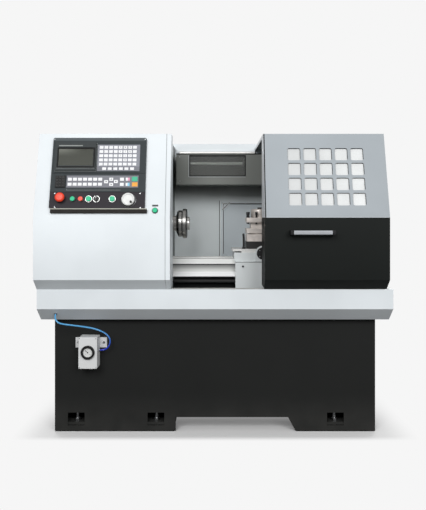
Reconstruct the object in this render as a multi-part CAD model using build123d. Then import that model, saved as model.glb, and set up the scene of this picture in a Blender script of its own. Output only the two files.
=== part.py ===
from build123d import *
from math import atan2, cos, degrees, hypot, pi, radians, sin, tan
import os

os.makedirs("parts", exist_ok=True)

# A small flat-bed turning lathe with a numeric control, in millimetres.
# X runs along the spindle, Y from the operator to the back, Z up from the floor.

# Driving dimensions of the whole machine
length = 1800.0
sheet = 3.0
slide_gap = 0.1
shaft_gap = 0.05
seat_gap = 0.3
seam = 0.8
overlap = 1.0

# Base cabinet and its six levelling feet
base_length = length - 120.0
base_front = -320.0
base_back = 480.0
base_top = 595.0
base_clearance = 4.0
base_wall = 5.0
lift_gap_left = -206.0
lift_gap_right_top = 383.0
lift_gap_right_foot = 422.0
lift_gap_height = 75.0
pocket_width = 88.0
pocket_low = 32.0
pocket_high = 99.0
pocket_xs = (112.0 - base_length / 2, -310.0, base_length / 2 - 208.0)
skirt_top = pocket_high + 11.0
foot_inset = 38.0
foot_shelf_low = 34.0
foot_shelf_thick = 14.0
foot_shelf_lap = 14.0
foot_pad_radius = 28.0
foot_pad_height = 10.0
foot_pad_edge = 3.0
foot_screw_radius = 9.0
foot_screw_top = 90.0
foot_nut_radius = 15.0
foot_nut_height = 14.0

# Chip pan between the base and the covers
pan_front = -440.0
pan_back = 520.0
pan_top = 760.0
pan_bend = 660.0
pan_slant = 77.0
pan_wall = 4.0
pan_rim = 28.0

# Outline shared by the headstock cover, the sliding hood and the end housing
face_y = -500.0
low_bend = 813.0
hood_top = 1552.0
slope_rise = 429.0
high_bend = hood_top - slope_rise
top_y = -387.0
hood_back = 268.0
lean = atan2(top_y - face_y, hood_top - high_bend)
low_lean = atan2(pan_front - face_y, low_bend - pan_top)

# Headstock cover and the post that the hood closes against
cover_right = -247.0
post_right = -223.0
return_depth = 200.0
bed_gap = 3.0
nose_gap = 10.0
bar_hole_radius = 32.0

# Sliding hood
hood_left = 247.0
hood_right = length / 2 - 34.0
hood_travel = 468.0
hood_lift = 2.0
window_size = 65.0
window_corner = 9.0
window_pitch_x = 80.0
window_pitch_up = 79.4
window_columns = 5
window_rows = 4
window_left = 369.0
window_low = 61.7
window_pane = 4.0
window_seal = 5.0
window_seal_width = 10.0
window_margin = 18.0
window_cut_depth = 12.0
handle_left = 369.0
handle_length = 219.0
handle_z = high_bend - 74.5
handle_height = 21.0
handle_thick = 18.0
handle_reach = 50.0
handle_post = 12.0
handle_post_inset = 2.0
handle_post_step = 3.0
handle_edge = 6.0
roof_lip = 17.0
roof_lip_gap = 4.0
rail_back = 270.0
rail_thick = 16.0
rail_top = hood_top - 20.0
rail_low = rail_top - 26.0
shoe_length = 40.0
shoe_gap = 0.2
shoe_inset = 25.0
foot_rail_height = 6.0
foot_rail_inset = 4.0
foot_rail_width = 8.0
rail_edge = 2.0

# Fixed housing inside the open hood
end_left = 370.0
end_right = hood_right - 4.0
end_inset = 14.0
end_roof_back = 240.0
end_flange = 15.0

# Back panel, lamp and access panel of the work area
panel_y = 200.0
panel_low = 640.0
panel_top = hood_top - 60.0
lamp_front = -44.0
lamp_low = panel_top - 182.0
lamp_left = -221.0
lamp_right = 360.0
lamp_window_left = -148.0
lamp_window_right = 176.0
lamp_window_low = lamp_low + 46.0
lamp_window_high = panel_top - 14.0
lamp_pane = 4.0
lamp_pane_lap = 8.0
tube_radius = 9.0
tube_z = panel_top - 58.0
tube_left = -146.0
tube_right = 164.0
socket_width = 14.0
socket_half = 12.0
socket_drop = 14.0
lamp_gap = 1.0
access_left = 39.0
access_right = 330.0
access_low = 860.0
access_high = lamp_low - 94.0
access_thick = 8.0
access_rim = 14.0
access_recess = 5.0
access_gusset = 40.0

# Rear cabinet with its door
cabinet_inset = 4.0
cabinet_front = rail_back
cabinet_back = 530.0
cabinet_top = hood_top + 28.0
cabinet_wall = 4.0
hatch_left = -560.0
hatch_right = 240.0
hatch_low = 860.0
hatch_high = cabinet_top - 80.0
cabinet_door_lap = 15.0
cabinet_door_gap = 0.8
cabinet_door_depth = 14.0
cabinet_hinge_zs = (hatch_low + 90.0, hatch_high - 120.0)
cabinet_hinge_length = 30.0
cabinet_hinge_radius = 7.0
cabinet_hinge_pin = 4.0
cabinet_hinge_offset = 8.0
latch_inset = 28.0
latch_radius = 15.0
latch_shaft = 8.0
latch_knob = 5.0
latch_tail = 16.0
latch_slot = 3.0

# Bed, its ways and the feet that stand in the pan
bed_left = -820.0
bed_right = 728.0
bed_front = -260.0
bed_back = -10.0
bed_top = 900.0
bed_low = 803.0
way_width = 70.0
way_lip = 26.0
way_overhang = 8.0
bed_wall = 37.0
trough_floor = 833.0
trough_plate = 14.0
foot_left_end = -320.0
foot_right_start = 480.0
rib_thick = 16.0
rib_count = 5
motor_shelf_thick = 22.0
motor_shelf_left = -730.0
motor_shelf_right = -430.0

# Bed screw in front of the bed, its guard and its motor
bed_screw_y = -277.0
bed_screw_z = 784.0
bed_screw_radius = 10.0
bed_screw_journal = 8.0
bed_screw_end = 12.0
bearing_left = -300.0
bearing_length = 38.0
bearing_right = 690.0
bearing_half = 22.0
guard_lip = 28.0
guard_drop = 16.0
guard_edge = 7.0
guard_sheet = 2.5
guard_rise = 30.0
bed_motor_half = 40.0
bed_motor_length = 118.0
bed_motor_edge = 9.0
bed_motor_groove_at = 73.0
bed_motor_groove = 4.0
bed_motor_groove_depth = 2.0

# Spindle line
spindle_y = -135.0
spindle_z = 1089.0
headstock_left = -600.0
headstock_right = -262.0
headstock_front = -255.0
headstock_back = -15.0
headstock_top = 1185.0
casting_foot = 40.0
casting_step = 20.0
casting_inset = 22.0
casting_shoulder = 50.0
casting_boss = 16.0
casting_boss_length = 10.0
casting_recess = 48.0
bearing_seat = 55.0
spindle_radius = 38.0
spindle_bore = 20.0
nose_radius = 42.0
nose_start = -250.0
nose_end = -214.0
bearing_width = 42.0
bearing_inset = 8.0
spindle_tail = -785.0
tail_radius = 32.0
tail_step = 20.0
spindle_pulley_radius = 75.0
motor_pulley_radius = 45.0
pulley_left = -762.0
pulley_width = 42.0
pulley_flange = 3.0
belt_thick = 6.0
belt_gap = 0.3
belt_side_gap = 1.0
main_motor_y = 130.0
main_motor_z = 900.0
main_motor_radius = 78.0
main_motor_left = -700.0
main_motor_right = -450.0
main_motor_shaft = 14.0
main_motor_seat = 60.0
motor_shaft_end = 6.0
motor_foot_height = 10.0
motor_foot_half = 16.0
motor_foot_spread = 50.0
motor_foot_inset = 40.0
motor_box_inset = 70.0
motor_box_half = 45.0
motor_box_height = 34.0
motor_fin_count = 9
motor_fin_height = 6.0
motor_fin_half = 4.0
motor_fin_inset = 30.0

# Collet chuck
chuck_radius = 73.0
chuck_ring_radius = 82.0
chuck_neck_radius = 66.0
chuck_back = -203.0
chuck_step = -182.0
chuck_ring_back = -178.0
chuck_face = -155.0
collet_end = -140.0
collet_radius = 37.0
collet_body = 30.0
collet_bore = 13.0
collet_slit = 2.0
chuck_bolt_circle = 60.0
chuck_bolt_radius = 6.0
chuck_bolt_head = 7.0
chuck_bolt_count = 3
chuck_socket_depth = 6.0
chuck_edge = 2.0
chuck_face_edge = 5.0
chuck_flange_lip = 4.0
collet_edge = 3.0
collet_slit_edge = 6.0

# Saddle and apron
saddle_left = 102.0
saddle_right = 350.0
saddle_front = -284.0
saddle_back = 20.0
saddle_top = 936.0
saddle_low = 888.0
saddle_channel = 46.0
channel_floor = 905.0
channel_end = 12.0
saddle_edge = 8.0
apron_left = 108.0
apron_right = 340.0
apron_front = -297.0
apron_plate = 6.0
apron_low = 743.0
apron_nut_low = 764.0
apron_nut_high = 804.0
apron_slot_top = 838.0
apron_back_gap = 2.0
apron_edge = 4.0

# Cross slide and its screw
cross_left = 91.0
cross_right = 345.0
cross_front = -280.0
cross_length = 190.0
cross_plate_low = 943.0
cross_plate_top = 955.0
cross_block_left = 140.0
cross_block_right = 335.0
cross_screw_x = 253.0
cross_screw_z = 926.0
cross_screw_radius = 8.0
cross_nut_width = 40.0
cross_nut_length = 60.0
cross_nut_front = -235.0
cross_nut_gap = 3.0
cross_edge = 6.0
cross_cap_radius = 32.0
cross_cap_z = 932.0
cross_cap_depth = 7.0
cross_cap_edge = 2.0
cross_screw_seat = 3.0
cross_motor_seat = 20.0
cross_arch_radius = 40.0
cross_motor_half = 30.0
cross_motor_length = 105.0
cross_motor_flange = 8.0
cross_motor_lip = 5.0
cross_motor_edge = 8.0

# Four-way tool post
post_x = 243.0
post_y = -190.0
post_half = 75.0
post_edge = 6.0
post_head_edge = 4.0
post_chamfer = 2.0
post_step = 1.0
post_cap_edge = 12.0
post_neck_height = 6.0
post_base_low = cross_plate_top
post_base_top = 995.0
post_lower_top = 1032.0
post_head_low = 1032.2
post_head_floor = 1064.0
post_slot_top = 1096.0
post_head_top = 1121.0
post_slot_depth = 24.0
post_neck_radius = 64.0
post_cap_radius = 47.0
post_cap_top = 1169.0
clamp_offsets = (-63.0, -21.0, 21.0, 63.0)
clamp_head = 13.0
clamp_top = 1152.0
clamp_neck_radius = 5.0
clamp_neck_top = 1138.0
clamp_tip = 1088.0
coolant_x = 153.0
coolant_y = -272.0
coolant_radius = 6.0
coolant_top = 1026.0
coolant_foot = 9.0
coolant_foot_height = 10.0
coolant_bend = 14.0
coolant_reach = 34.0
coolant_rise = 6.0

# Operator panel on the sloped face, measured up the slope from its lower bend
panel_left = -822.0
panel_right = -348.0
panel_foot = 43.0
panel_head = 416.0
panel_thick = 14.0
panel_corner = 8.0
divider_half = 1.0
divider_depth = 1.5
screen_left = -810.0
screen_right = -601.0
screen_foot = 237.0
screen_head = 393.0
screen_thick = 6.0
screen_corner = 5.0
glass_left = -792.0
glass_right = -615.0
glass_foot = 265.0
glass_head = 362.0
glass_thick = 2.5
glass_seat = 4.0
glass_corner = 3.0
membrane_thick = 1.0
key_rise = 1.5
membrane_corner = 4.0
key_root = 0.5
keypad_left = -589.0
keypad_right = -390.0
keypad_foot = 245.0
keypad_head = 381.0
key_columns = 8
key_rows = 6
key_share = (0.72, 0.68)
short_row_keys = 6
machine_rows = (163.0, 201.0)
machine_row_keys = 7
machine_row_start = 14.0
machine_pitch = 25.4
machine_key = (19.0, 22.0)
arrow_keys = ((-547.0, 186.0), (-522.0, 199.0), (-522.0, 172.0), (-497.0, 186.0))
arrow_key = (18.0, 17.0)
speed_keys_x = (-467.0, -438.0)
speed_keys_up = (172.0, 199.7)
speed_key = (20.0, 19.0)
cycle_key_x = -405.0
cycle_keys_up = (171.0, 196.5)
cycle_key = (31.0, 19.0)
machine_left = -747.0
machine_right = -386.0
machine_foot = 144.0
machine_head = 221.0
port_left = -802.0
port_right = -753.0
port_foot = 157.0
port_head = 221.0
port_thick = 5.0
port_corner = 3.0
divider_up = 229.0
button_row_up = 89.6
button_travel = 3.0
button_clearance = 1.0
stop_travel = 5.0
plain_cap = 11.7
plain_collar = 15.0
ring_cap = 13.5
ring_collar = 18.0
collar_height = 5.0
collar_edge = 1.0
cap_height = 8.0
cap_edge = 1.5
start_x = -706.0
stop_x = -666.0
cycle_x = -626.0
mode_x = -588.0
feed_x = -509.0
emergency_x = -766.0
emergency_up = 93.9
emergency_radius = 24.0
emergency_height = 15.0
emergency_edge = 3.0
emergency_dome = 7.0
emergency_gap = 2.0
dial_x = -429.0
dial_up = 84.7
dial_radius = 32.0
dial_hub = 13.7
dial_height = 17.0
dial_edge = 2.0
dial_rim = 7.0
dial_dish = 3.0
dial_knob = 5.0
dial_knob_place = 15.0
dial_knob_height = 14.0
selector_height = 9.0
selector_grip = 8.0
selector_grip_low = 4.0
selector_grip_height = 14.0
cover_button_x = -297.6
cover_button_up = 34.4
cover_button_hole = 10.5

# Air regulator on the base, and the hose that feeds it
regulator_left = -699.0
regulator_right = -603.0
regulator_low = 348.0
regulator_high = 509.0
regulator_depth = 76.0
regulator_corner = 5.0
regulator_edge = 3.0
ear_plate = 4.0
ear_left = -730.0
ear_right = -566.0
ear_low = 442.0
ear_high = 495.0
ear_hole = 5.0
ear_hole_inset = 16.0
gauge_x = -650.0
gauge_z = 433.0
gauge_radius = 35.0
gauge_dial = 24.0
gauge_depth = 12.0
gauge_back = 4.0
gauge_edge = 2.0
needle_hub = 3.0
needle_width = 2.0
needle_thick = 1.2
needle_length = 17.0
needle_angle = -48.0
drain_x = -642.0
drain_radius = 9.0
drain_drop = 10.0
hose_radius = 4.0
hose_bend_share = 0.45
gland_radius = 8.0
gland_z = 633.5
gland_inset = 88.0
gland_length = 6.0
elbow_radius = 7.0
hose_hole_gap = 1.0
hose_route = [
    (-812.0, -412.5, 628.9), (-812.0, -424.1, 615.1), (-803.4, -432.7, 599.9),
    (-787.9, -435.5, 587.7), (-763.2, -430.3, 581.5), (-728.0, -416.5, 574.5),
    (-692.0, -400.0, 566.5), (-655.0, -384.0, 558.0), (-618.0, -371.0, 548.0),
    (-575.0, -364.0, 529.0), (-552.0, -361.0, 509.5), (-542.6, -360.0, 488.5),
    (-544.2, -359.0, 466.6), (-556.5, -358.0, 446.5), (-575.0, -358.0, 435.8),
    (-596.8, -358.0, 435.8),
]

low_corner = (Align.MIN, Align.MIN, Align.MIN)
slope = Plane(origin=(0, face_y, high_bend), x_dir=(1, 0, 0), z_dir=(0, -cos(lean), sin(lean)))
pan_lean = atan2(pan_slant, pan_bend - base_top)


def keep(name, solid):
    export_step(solid, f"parts/{name}.step")


def block(x, y, z):
    """A box from three pairs of limits."""
    return Pos(x[0], y[0], z[0]) * Box(x[1] - x[0], y[1] - y[0], z[1] - z[0], align=low_corner)


def along_x(radius, x, y, z):
    """A round bar from x[0] to x[1]."""
    middle = (x[0] + x[1]) / 2
    return Pos(middle, y, z) * Rot(0, 90, 0) * Cylinder(radius, x[1] - x[0])


def along_y(radius, x, y, z):
    """A round bar from y[0] to y[1]."""
    middle = (y[0] + y[1]) / 2
    return Pos(x, middle, z) * Rot(90, 0, 0) * Cylinder(radius, y[1] - y[0])


def along_z(radius, x, y, z):
    """A round bar from z[0] to z[1]."""
    middle = (z[0] + z[1]) / 2
    return Pos(x, y, middle) * Cylinder(radius, z[1] - z[0])


def side_profile(points, x):
    """An outline in Y and Z, drawn out from x[0] to x[1]."""
    face = Plane.YZ.offset(x[0]) * make_face(Polyline(*points, close=True).edges())
    return extrude(face, amount=x[1] - x[0], dir=(1, 0, 0))


def turned(points, y, z):
    """A turned piece about an X axis, from its (x, radius) outline."""
    face = make_face(Polyline(*points, close=True).edges())
    return Pos(0, y, z) * revolve(face, Axis.X)


def on_slope(x, up, out, solid):
    """Places a solid on the sloped front face, with Z pointing out of it."""
    return slope * Pos(x, up, out) * solid


def slope_plate(x, up, out, corner):
    """A flat plate on the sloped face, with round corners."""
    outline = RectangleRounded(x[1] - x[0], up[1] - up[0], corner)
    plate = extrude(outline, amount=out[1] - out[0])
    return on_slope((x[0] + x[1]) / 2, (up[0] + up[1]) / 2, out[0], plate)


def hood_outline(inset, back, floor):
    """The closed front, slope and roof outline, moved inwards by inset."""
    foot_y = pan_front + inset / cos(low_lean) + (floor - pan_top) * -tan(low_lean)
    return [
        (foot_y, floor),
        (face_y + inset, low_bend + inset * tan(low_lean / 2)),
        (face_y + inset, high_bend - inset * tan(lean / 2)),
        (top_y + inset * tan(pi / 4 - lean / 2), hood_top - inset),
        (back, hood_top - inset),
        (back, floor),
    ]


def hood_skin(inset, back, floor, x):
    """Folded sheet along the outline, open at the back, the floor and both ends."""
    outer = side_profile(hood_outline(inset, back, floor), x)
    return outer - side_profile(hood_outline(inset + sheet, back + sheet, floor - pan_rim), x)


def make_base_cabinet():
    """Plates welded edge to edge: two long walls, two ends, a top and the foot shelves."""
    half = base_length / 2
    inner_y = (base_front + base_wall, base_back - base_wall)
    ends = [
        block(x, inner_y, (base_clearance, base_top))
        for x in ((-half, -half + base_wall), (half - base_wall, half))
    ]
    top = block((-half + base_wall, half - base_wall), inner_y, (base_top - base_wall, base_top))
    front = long_wall((base_front, base_front + base_wall))
    back = long_wall((base_back - base_wall, base_back))
    return Compound(children=[*front, *back, *ends, top, *foot_shelves()])


def long_wall(y):
    """A wall's upper sheet, the bridge over the lifting gap, and the two leg plates with pockets."""
    half = base_length / 2
    upper = block((-half, half), y, (skirt_top, base_top))
    bridge = block((lift_gap_left, lift_gap_right_top), y, (lift_gap_height, skirt_top))
    left = block((-half, lift_gap_left), y, (base_clearance, skirt_top))
    slant = Polyline(
        (lift_gap_right_top, skirt_top), (lift_gap_right_top, lift_gap_height),
        (lift_gap_right_foot, base_clearance), (half, base_clearance), (half, skirt_top), close=True,
    )
    face = Plane.XZ.offset(-y[0]) * make_face(slant.edges())
    right = extrude(face, amount=y[1] - y[0], dir=(0, 1, 0))
    for x in pocket_xs:
        pocket = block((x - pocket_width / 2, x + pocket_width / 2), y, (pocket_low, pocket_high))
        left -= pocket
        right -= pocket
    return [upper, bridge, left, right]


def foot_shelves():
    """The plates that the levelling screws stand in, welded behind the pockets."""
    half = pocket_width / 2 + foot_shelf_lap
    shelves = []
    for x in pocket_xs:
        for foot_y, reach in zip(foot_ys(), foot_shelf_edges()):
            z = (foot_shelf_low, foot_shelf_low + foot_shelf_thick)
            shelf = block((x - half, x + half), reach, z)
            shelves.append(shelf - along_z(foot_screw_radius + shaft_gap, x, foot_y, (0, pocket_high)))
    return shelves


def foot_ys():
    return (base_front + foot_inset, base_back - foot_inset)


def foot_shelf_edges():
    """The Y limits of the shelves behind the front wall and before the back wall."""
    reach = 2 * foot_inset
    front = (base_front + base_wall, base_front + reach)
    return (front, (base_back - reach, base_back - base_wall))


def make_levelling_feet():
    shelf_top = foot_shelf_low + foot_shelf_thick
    feet = []
    for x in pocket_xs:
        for y in foot_ys():
            pad = along_z(foot_pad_radius, x, y, (0, foot_pad_height))
            pad = chamfer(pad.edges().group_by(Axis.Z)[-1], foot_pad_edge)
            screw = along_z(foot_screw_radius, x, y, (foot_pad_height / 2, foot_screw_top))
            nut = extrude(RegularPolygon(foot_nut_radius, 6), amount=foot_nut_height)
            feet.append(pad + screw + Pos(x, y, shelf_top) * nut)
    return Compound(children=feet)


def make_chip_pan():
    half = length / 2
    shift = pan_wall / cos(pan_lean)
    step = pan_wall * tan(pan_lean)
    outer = [
        (pan_front, pan_top), (pan_front, pan_bend), (pan_front + pan_slant, base_top),
        (pan_back, base_top), (pan_back, pan_top),
    ]
    inner_bend = pan_bend + (shift - pan_wall) / tan(pan_lean)
    inner = [
        (pan_front + pan_wall, pan_top + overlap), (pan_front + pan_wall, inner_bend),
        (pan_front + pan_slant + shift - step, base_top + pan_wall),
        (pan_back - pan_wall, base_top + pan_wall), (pan_back - pan_wall, pan_top + overlap),
    ]
    pan = side_profile(outer, (-half, half))
    pan -= side_profile(inner, (-half + pan_wall, half - pan_wall))
    rim = block((-half, half), (pan_front, pan_back), (pan_top - sheet, pan_top))
    rim -= block(
        (-half + pan_rim, half - pan_rim),
        (pan_front + pan_rim, pan_back - pan_rim),
        (pan_top - 2 * sheet, pan_top + overlap),
    )
    pan += rim
    return pan - gland_place() * Cylinder(hose_radius + hose_hole_gap, 4 * pan_wall)


def gland_place():
    """Where the hose leaves the pan's slanted foot, with Z pointing out of it."""
    y = pan_front + (pan_bend - gland_z) * tan(pan_lean)
    return Pos(gland_inset - length / 2, y, gland_z) * Rot(90 + degrees(pan_lean), 0, 0)


def make_bed():
    body_y = (bed_front + way_overhang, bed_back - way_overhang)
    section = [
        (bed_front, bed_top), (bed_front, bed_top - way_lip), (body_y[0], bed_top - way_lip),
        (body_y[0], bed_low), (body_y[0] + bed_wall, bed_low),
        (body_y[0] + bed_wall, trough_floor), (body_y[1] - bed_wall, trough_floor),
        (body_y[1] - bed_wall, bed_low), (body_y[1], bed_low),
        (body_y[1], bed_top - way_lip), (bed_back, bed_top - way_lip), (bed_back, bed_top),
        (bed_back - way_width, bed_top), (bed_back - way_width, trough_floor + trough_plate),
        (bed_front + way_width, trough_floor + trough_plate), (bed_front + way_width, bed_top),
    ]
    bed = side_profile(section, (bed_left, bed_right))
    pan_floor = base_top + pan_wall
    foot_y = (body_y[0], body_y[1])
    for ends in ((bed_left, foot_left_end), (foot_right_start, bed_right)):
        foot = block(ends, foot_y, (pan_floor, trough_floor))
        foot -= block(
            (ends[0] + bed_wall, ends[1] - bed_wall),
            (foot_y[0] + bed_wall, foot_y[1] - bed_wall),
            (pan_floor - overlap, bed_low),
        )
        bed += foot
    rib_pitch = (foot_right_start - foot_left_end) / (rib_count + 1)
    for number in range(1, rib_count + 1):
        x = foot_left_end + number * rib_pitch
        rib = block(
            (x - rib_thick / 2, x + rib_thick / 2), foot_y, (bed_low, trough_floor + trough_plate),
        )
        bed += rib
    shelf_y = (bed_back - way_overhang - bed_wall, main_motor_y + main_motor_radius)
    shelf_top = motor_shelf_top()
    bed += block(
        (motor_shelf_left, motor_shelf_right), shelf_y, (shelf_top - motor_shelf_thick, shelf_top),
    )
    for start in (bearing_left, bearing_right):
        ends = (start, start + bearing_length)
        bearing = block(
            ends,
            (bed_screw_y - bearing_half, body_y[0] + overlap),
            (bed_screw_z - bearing_half, bed_screw_z + bearing_half),
        )
        bed += bearing
    bore = bed_screw_journal + shaft_gap
    for start in (bearing_left, bearing_right):
        ends = (start - overlap, start + bearing_length + overlap)
        bed -= along_x(bore, ends, bed_screw_y, bed_screw_z)
    return bed


def motor_shelf_top():
    """The height of the shelf on the bed that the spindle motor stands on."""
    return main_motor_z - main_motor_radius - motor_foot_height


def make_bed_screw():
    ends = (bearing_left - bed_screw_end, bearing_right + bearing_length)
    screw = along_x(bed_screw_journal, ends, bed_screw_y, bed_screw_z)
    thread = (bearing_left + bearing_length + seat_gap, bearing_right - seat_gap)
    return screw + along_x(bed_screw_radius, thread, bed_screw_y, bed_screw_z)


def make_screw_guard():
    top_z = bed_low + guard_rise
    body_front = bed_front + way_overhang
    outer_y = bed_front - guard_lip
    outline = [
        (body_front, top_z), (bed_front, top_z), (outer_y, top_z - guard_drop),
        (outer_y, top_z - guard_drop - guard_edge),
        (outer_y + guard_sheet, top_z - guard_drop - guard_edge),
        (outer_y + guard_sheet, top_z - guard_drop - guard_sheet),
        (bed_front, top_z - guard_sheet), (body_front, top_z - guard_sheet),
    ]
    return side_profile(outline, (post_right, bearing_right))


def make_bed_motor():
    start = bearing_right + bearing_length
    motor = block(
        (start, start + bed_motor_length),
        (bed_screw_y - bed_motor_half, bed_screw_y + bed_motor_half),
        (bed_screw_z - bed_motor_half, bed_screw_z + bed_motor_half),
    )
    motor = fillet(motor.edges().filter_by(Axis.X), bed_motor_edge)
    waist = start + bed_motor_groove_at
    outer = 2 * bed_motor_half
    ring = block(
        (waist, waist + bed_motor_groove),
        (bed_screw_y - outer, bed_screw_y + outer), (bed_screw_z - outer, bed_screw_z + outer),
    )
    inner = bed_motor_half - bed_motor_groove_depth
    ring -= block(
        (waist - overlap, waist + bed_motor_groove + overlap),
        (bed_screw_y - inner, bed_screw_y + inner), (bed_screw_z - inner, bed_screw_z + inner),
    )
    return motor - ring


def make_headstock_casting():
    front = headstock_front + casting_inset
    back = headstock_back - casting_inset
    foot = bed_top + casting_foot
    neck = foot + casting_step
    shoulder = headstock_top - casting_shoulder
    outline = [
        (headstock_front, bed_top), (headstock_front, foot), (front, neck), (front, shoulder),
        (front + casting_shoulder, headstock_top), (back - casting_shoulder, headstock_top),
        (back, shoulder), (back, neck), (headstock_back, foot), (headstock_back, bed_top),
    ]
    casting = side_profile(outline, (headstock_left, headstock_right))
    middle = (headstock_left + 2 * bearing_width, headstock_right - 2 * bearing_width)
    recess = (headstock_front - overlap, headstock_front + casting_recess)
    casting -= block(middle, recess, (neck, headstock_top + overlap))
    boss = bearing_seat + casting_boss
    ends = (headstock_left - casting_boss_length, headstock_right + casting_boss_length)
    casting += along_x(boss, (headstock_right, ends[1]), spindle_y, spindle_z)
    casting += along_x(boss, (ends[0], headstock_left), spindle_y, spindle_z)
    bore_ends = (ends[0] - overlap, ends[1] + overlap)
    casting -= along_x(bearing_seat, bore_ends, spindle_y, spindle_z)
    # The upper half is bolted down over the bearings.
    depth = (headstock_front - overlap, headstock_back + overlap)
    lower = casting & block(bore_ends, depth, (bed_top, spindle_z))
    upper = casting & block(bore_ends, depth, (spindle_z, headstock_top))
    return Compound(children=[lower, upper])


def bearing_starts():
    return (headstock_left + bearing_inset, headstock_right - bearing_inset - bearing_width)


def make_spindle_bearings():
    rings = []
    for start in bearing_starts():
        ends = (start, start + bearing_width)
        ring = along_x(bearing_seat - shaft_gap, ends, spindle_y, spindle_z)
        bore = (ends[0] - overlap, ends[1] + overlap)
        ring -= along_x(spindle_radius + shaft_gap, bore, spindle_y, spindle_z)
        rings.append(ring)
    return Compound(children=rings)


def make_spindle():
    outline = [
        (spindle_tail, spindle_bore), (spindle_tail, tail_radius),
        (headstock_left - tail_step, tail_radius), (headstock_left - tail_step, spindle_radius),
        (nose_start, spindle_radius), (nose_start, nose_radius),
        (nose_end, nose_radius), (nose_end, spindle_bore),
    ]
    return turned(outline, spindle_y, spindle_z)


def make_spindle_pulley():
    right = pulley_left + pulley_width
    rim = spindle_pulley_radius + belt_thick / 2
    outline = [
        (pulley_left, tail_radius + shaft_gap), (pulley_left, rim),
        (pulley_left + pulley_flange, rim),
        (pulley_left + pulley_flange, spindle_pulley_radius),
        (right - pulley_flange, spindle_pulley_radius), (right - pulley_flange, rim),
        (right, rim), (right, tail_radius + shaft_gap),
    ]
    return turned(outline, spindle_y, spindle_z)


def make_motor_pulley():
    right = pulley_left + pulley_width
    rim = motor_pulley_radius + belt_thick / 2
    shaft_end = main_motor_right - main_motor_seat
    shaft_start = pulley_left - motor_shaft_end
    outline = [
        (shaft_start, 0), (shaft_start, main_motor_shaft),
        (pulley_left, main_motor_shaft), (pulley_left, rim),
        (pulley_left + pulley_flange, rim), (pulley_left + pulley_flange, motor_pulley_radius),
        (right - pulley_flange, motor_pulley_radius), (right - pulley_flange, rim),
        (right, rim), (right, main_motor_shaft), (shaft_end, main_motor_shaft), (shaft_end, 0),
    ]
    return turned(outline, main_motor_y, main_motor_z)


def belt_loop(extra, x):
    """The closed area round both pulleys, at extra outside their rims."""
    big = spindle_pulley_radius + extra
    small = motor_pulley_radius + extra
    run_y = main_motor_y - spindle_y
    run_z = main_motor_z - spindle_z
    spread = hypot(run_y, run_z)
    heading = atan2(run_z, run_y)
    swing = atan2(((spread ** 2) - (big - small) ** 2) ** 0.5, big - small)
    corners = []
    for side in (1, -1):
        angle = heading + side * swing
        corners.append(((big * cos(angle), big * sin(angle)), (small * cos(angle), small * sin(angle))))
    (big_a, small_a), (big_b, small_b) = corners
    far = [(run_y + p[0], run_z + p[1]) for p in (small_a, small_b)]
    band = side_profile(
        [(spindle_y + p[0], spindle_z + p[1]) for p in (big_a, far[0], far[1], big_b)], x,
    )
    band += along_x(big, x, spindle_y, spindle_z)
    return band + along_x(small, x, main_motor_y, main_motor_z)


def make_drive_belt():
    inset = pulley_flange + belt_side_gap
    x = (pulley_left + inset, pulley_left + pulley_width - inset)
    return belt_loop(belt_gap + belt_thick, x) - belt_loop(belt_gap, x)


def make_main_motor():
    ends = (main_motor_left, main_motor_right)
    motor = along_x(main_motor_radius - motor_fin_height, ends, main_motor_y, main_motor_z)
    fins = (ends[0] + motor_fin_inset, ends[1] - motor_fin_inset)
    for number in range(motor_fin_count):
        x = fins[0] + number * (fins[1] - fins[0]) / (motor_fin_count - 1)
        fin = (x - motor_fin_half, x + motor_fin_half)
        motor += along_x(main_motor_radius, fin, main_motor_y, main_motor_z)
    foot_x = (ends[0] + motor_foot_inset, ends[1] - motor_foot_inset)
    foot_z = (motor_shelf_top(), main_motor_z - main_motor_radius / 2)
    for side in (-1, 1):
        y = main_motor_y + side * motor_foot_spread
        motor += block(foot_x, (y - motor_foot_half, y + motor_foot_half), foot_z)
    motor += block(
        (ends[0] + motor_box_inset, ends[1] - motor_box_inset),
        (main_motor_y - motor_box_half, main_motor_y + motor_box_half),
        (main_motor_z + main_motor_radius / 2, main_motor_z + main_motor_radius + motor_box_height),
    )
    bore = (ends[0] - overlap, main_motor_right - main_motor_seat + overlap)
    return motor - along_x(main_motor_shaft + shaft_gap, bore, main_motor_y, main_motor_z)


def make_chuck_body():
    outline = [
        (nose_end, collet_body + seat_gap), (nose_end, nose_radius + chuck_flange_lip),
        (chuck_back, chuck_radius - chuck_edge), (chuck_back + chuck_edge, chuck_radius),
        (chuck_step, chuck_radius), (chuck_step, chuck_neck_radius),
        (chuck_ring_back, chuck_neck_radius), (chuck_ring_back, chuck_ring_radius - chuck_edge),
        (chuck_ring_back + chuck_edge, chuck_ring_radius),
        (chuck_face - chuck_face_edge, chuck_ring_radius),
        (chuck_face, chuck_ring_radius - chuck_face_edge), (chuck_face, collet_body + seat_gap),
    ]
    body = turned(outline, spindle_y, spindle_z)
    head = (chuck_back - chuck_bolt_head, chuck_back + chuck_edge)
    socket = (chuck_face - chuck_socket_depth, chuck_face + overlap)
    for number in range(chuck_bolt_count):
        angle = radians(90 + 360 * number / chuck_bolt_count)
        y = spindle_y + chuck_bolt_circle * cos(angle)
        z = spindle_z + chuck_bolt_circle * sin(angle)
        body += along_x(chuck_bolt_radius, head, y, z)
        body -= along_x(chuck_bolt_radius / 2, socket, y, z)
    return body


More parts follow.
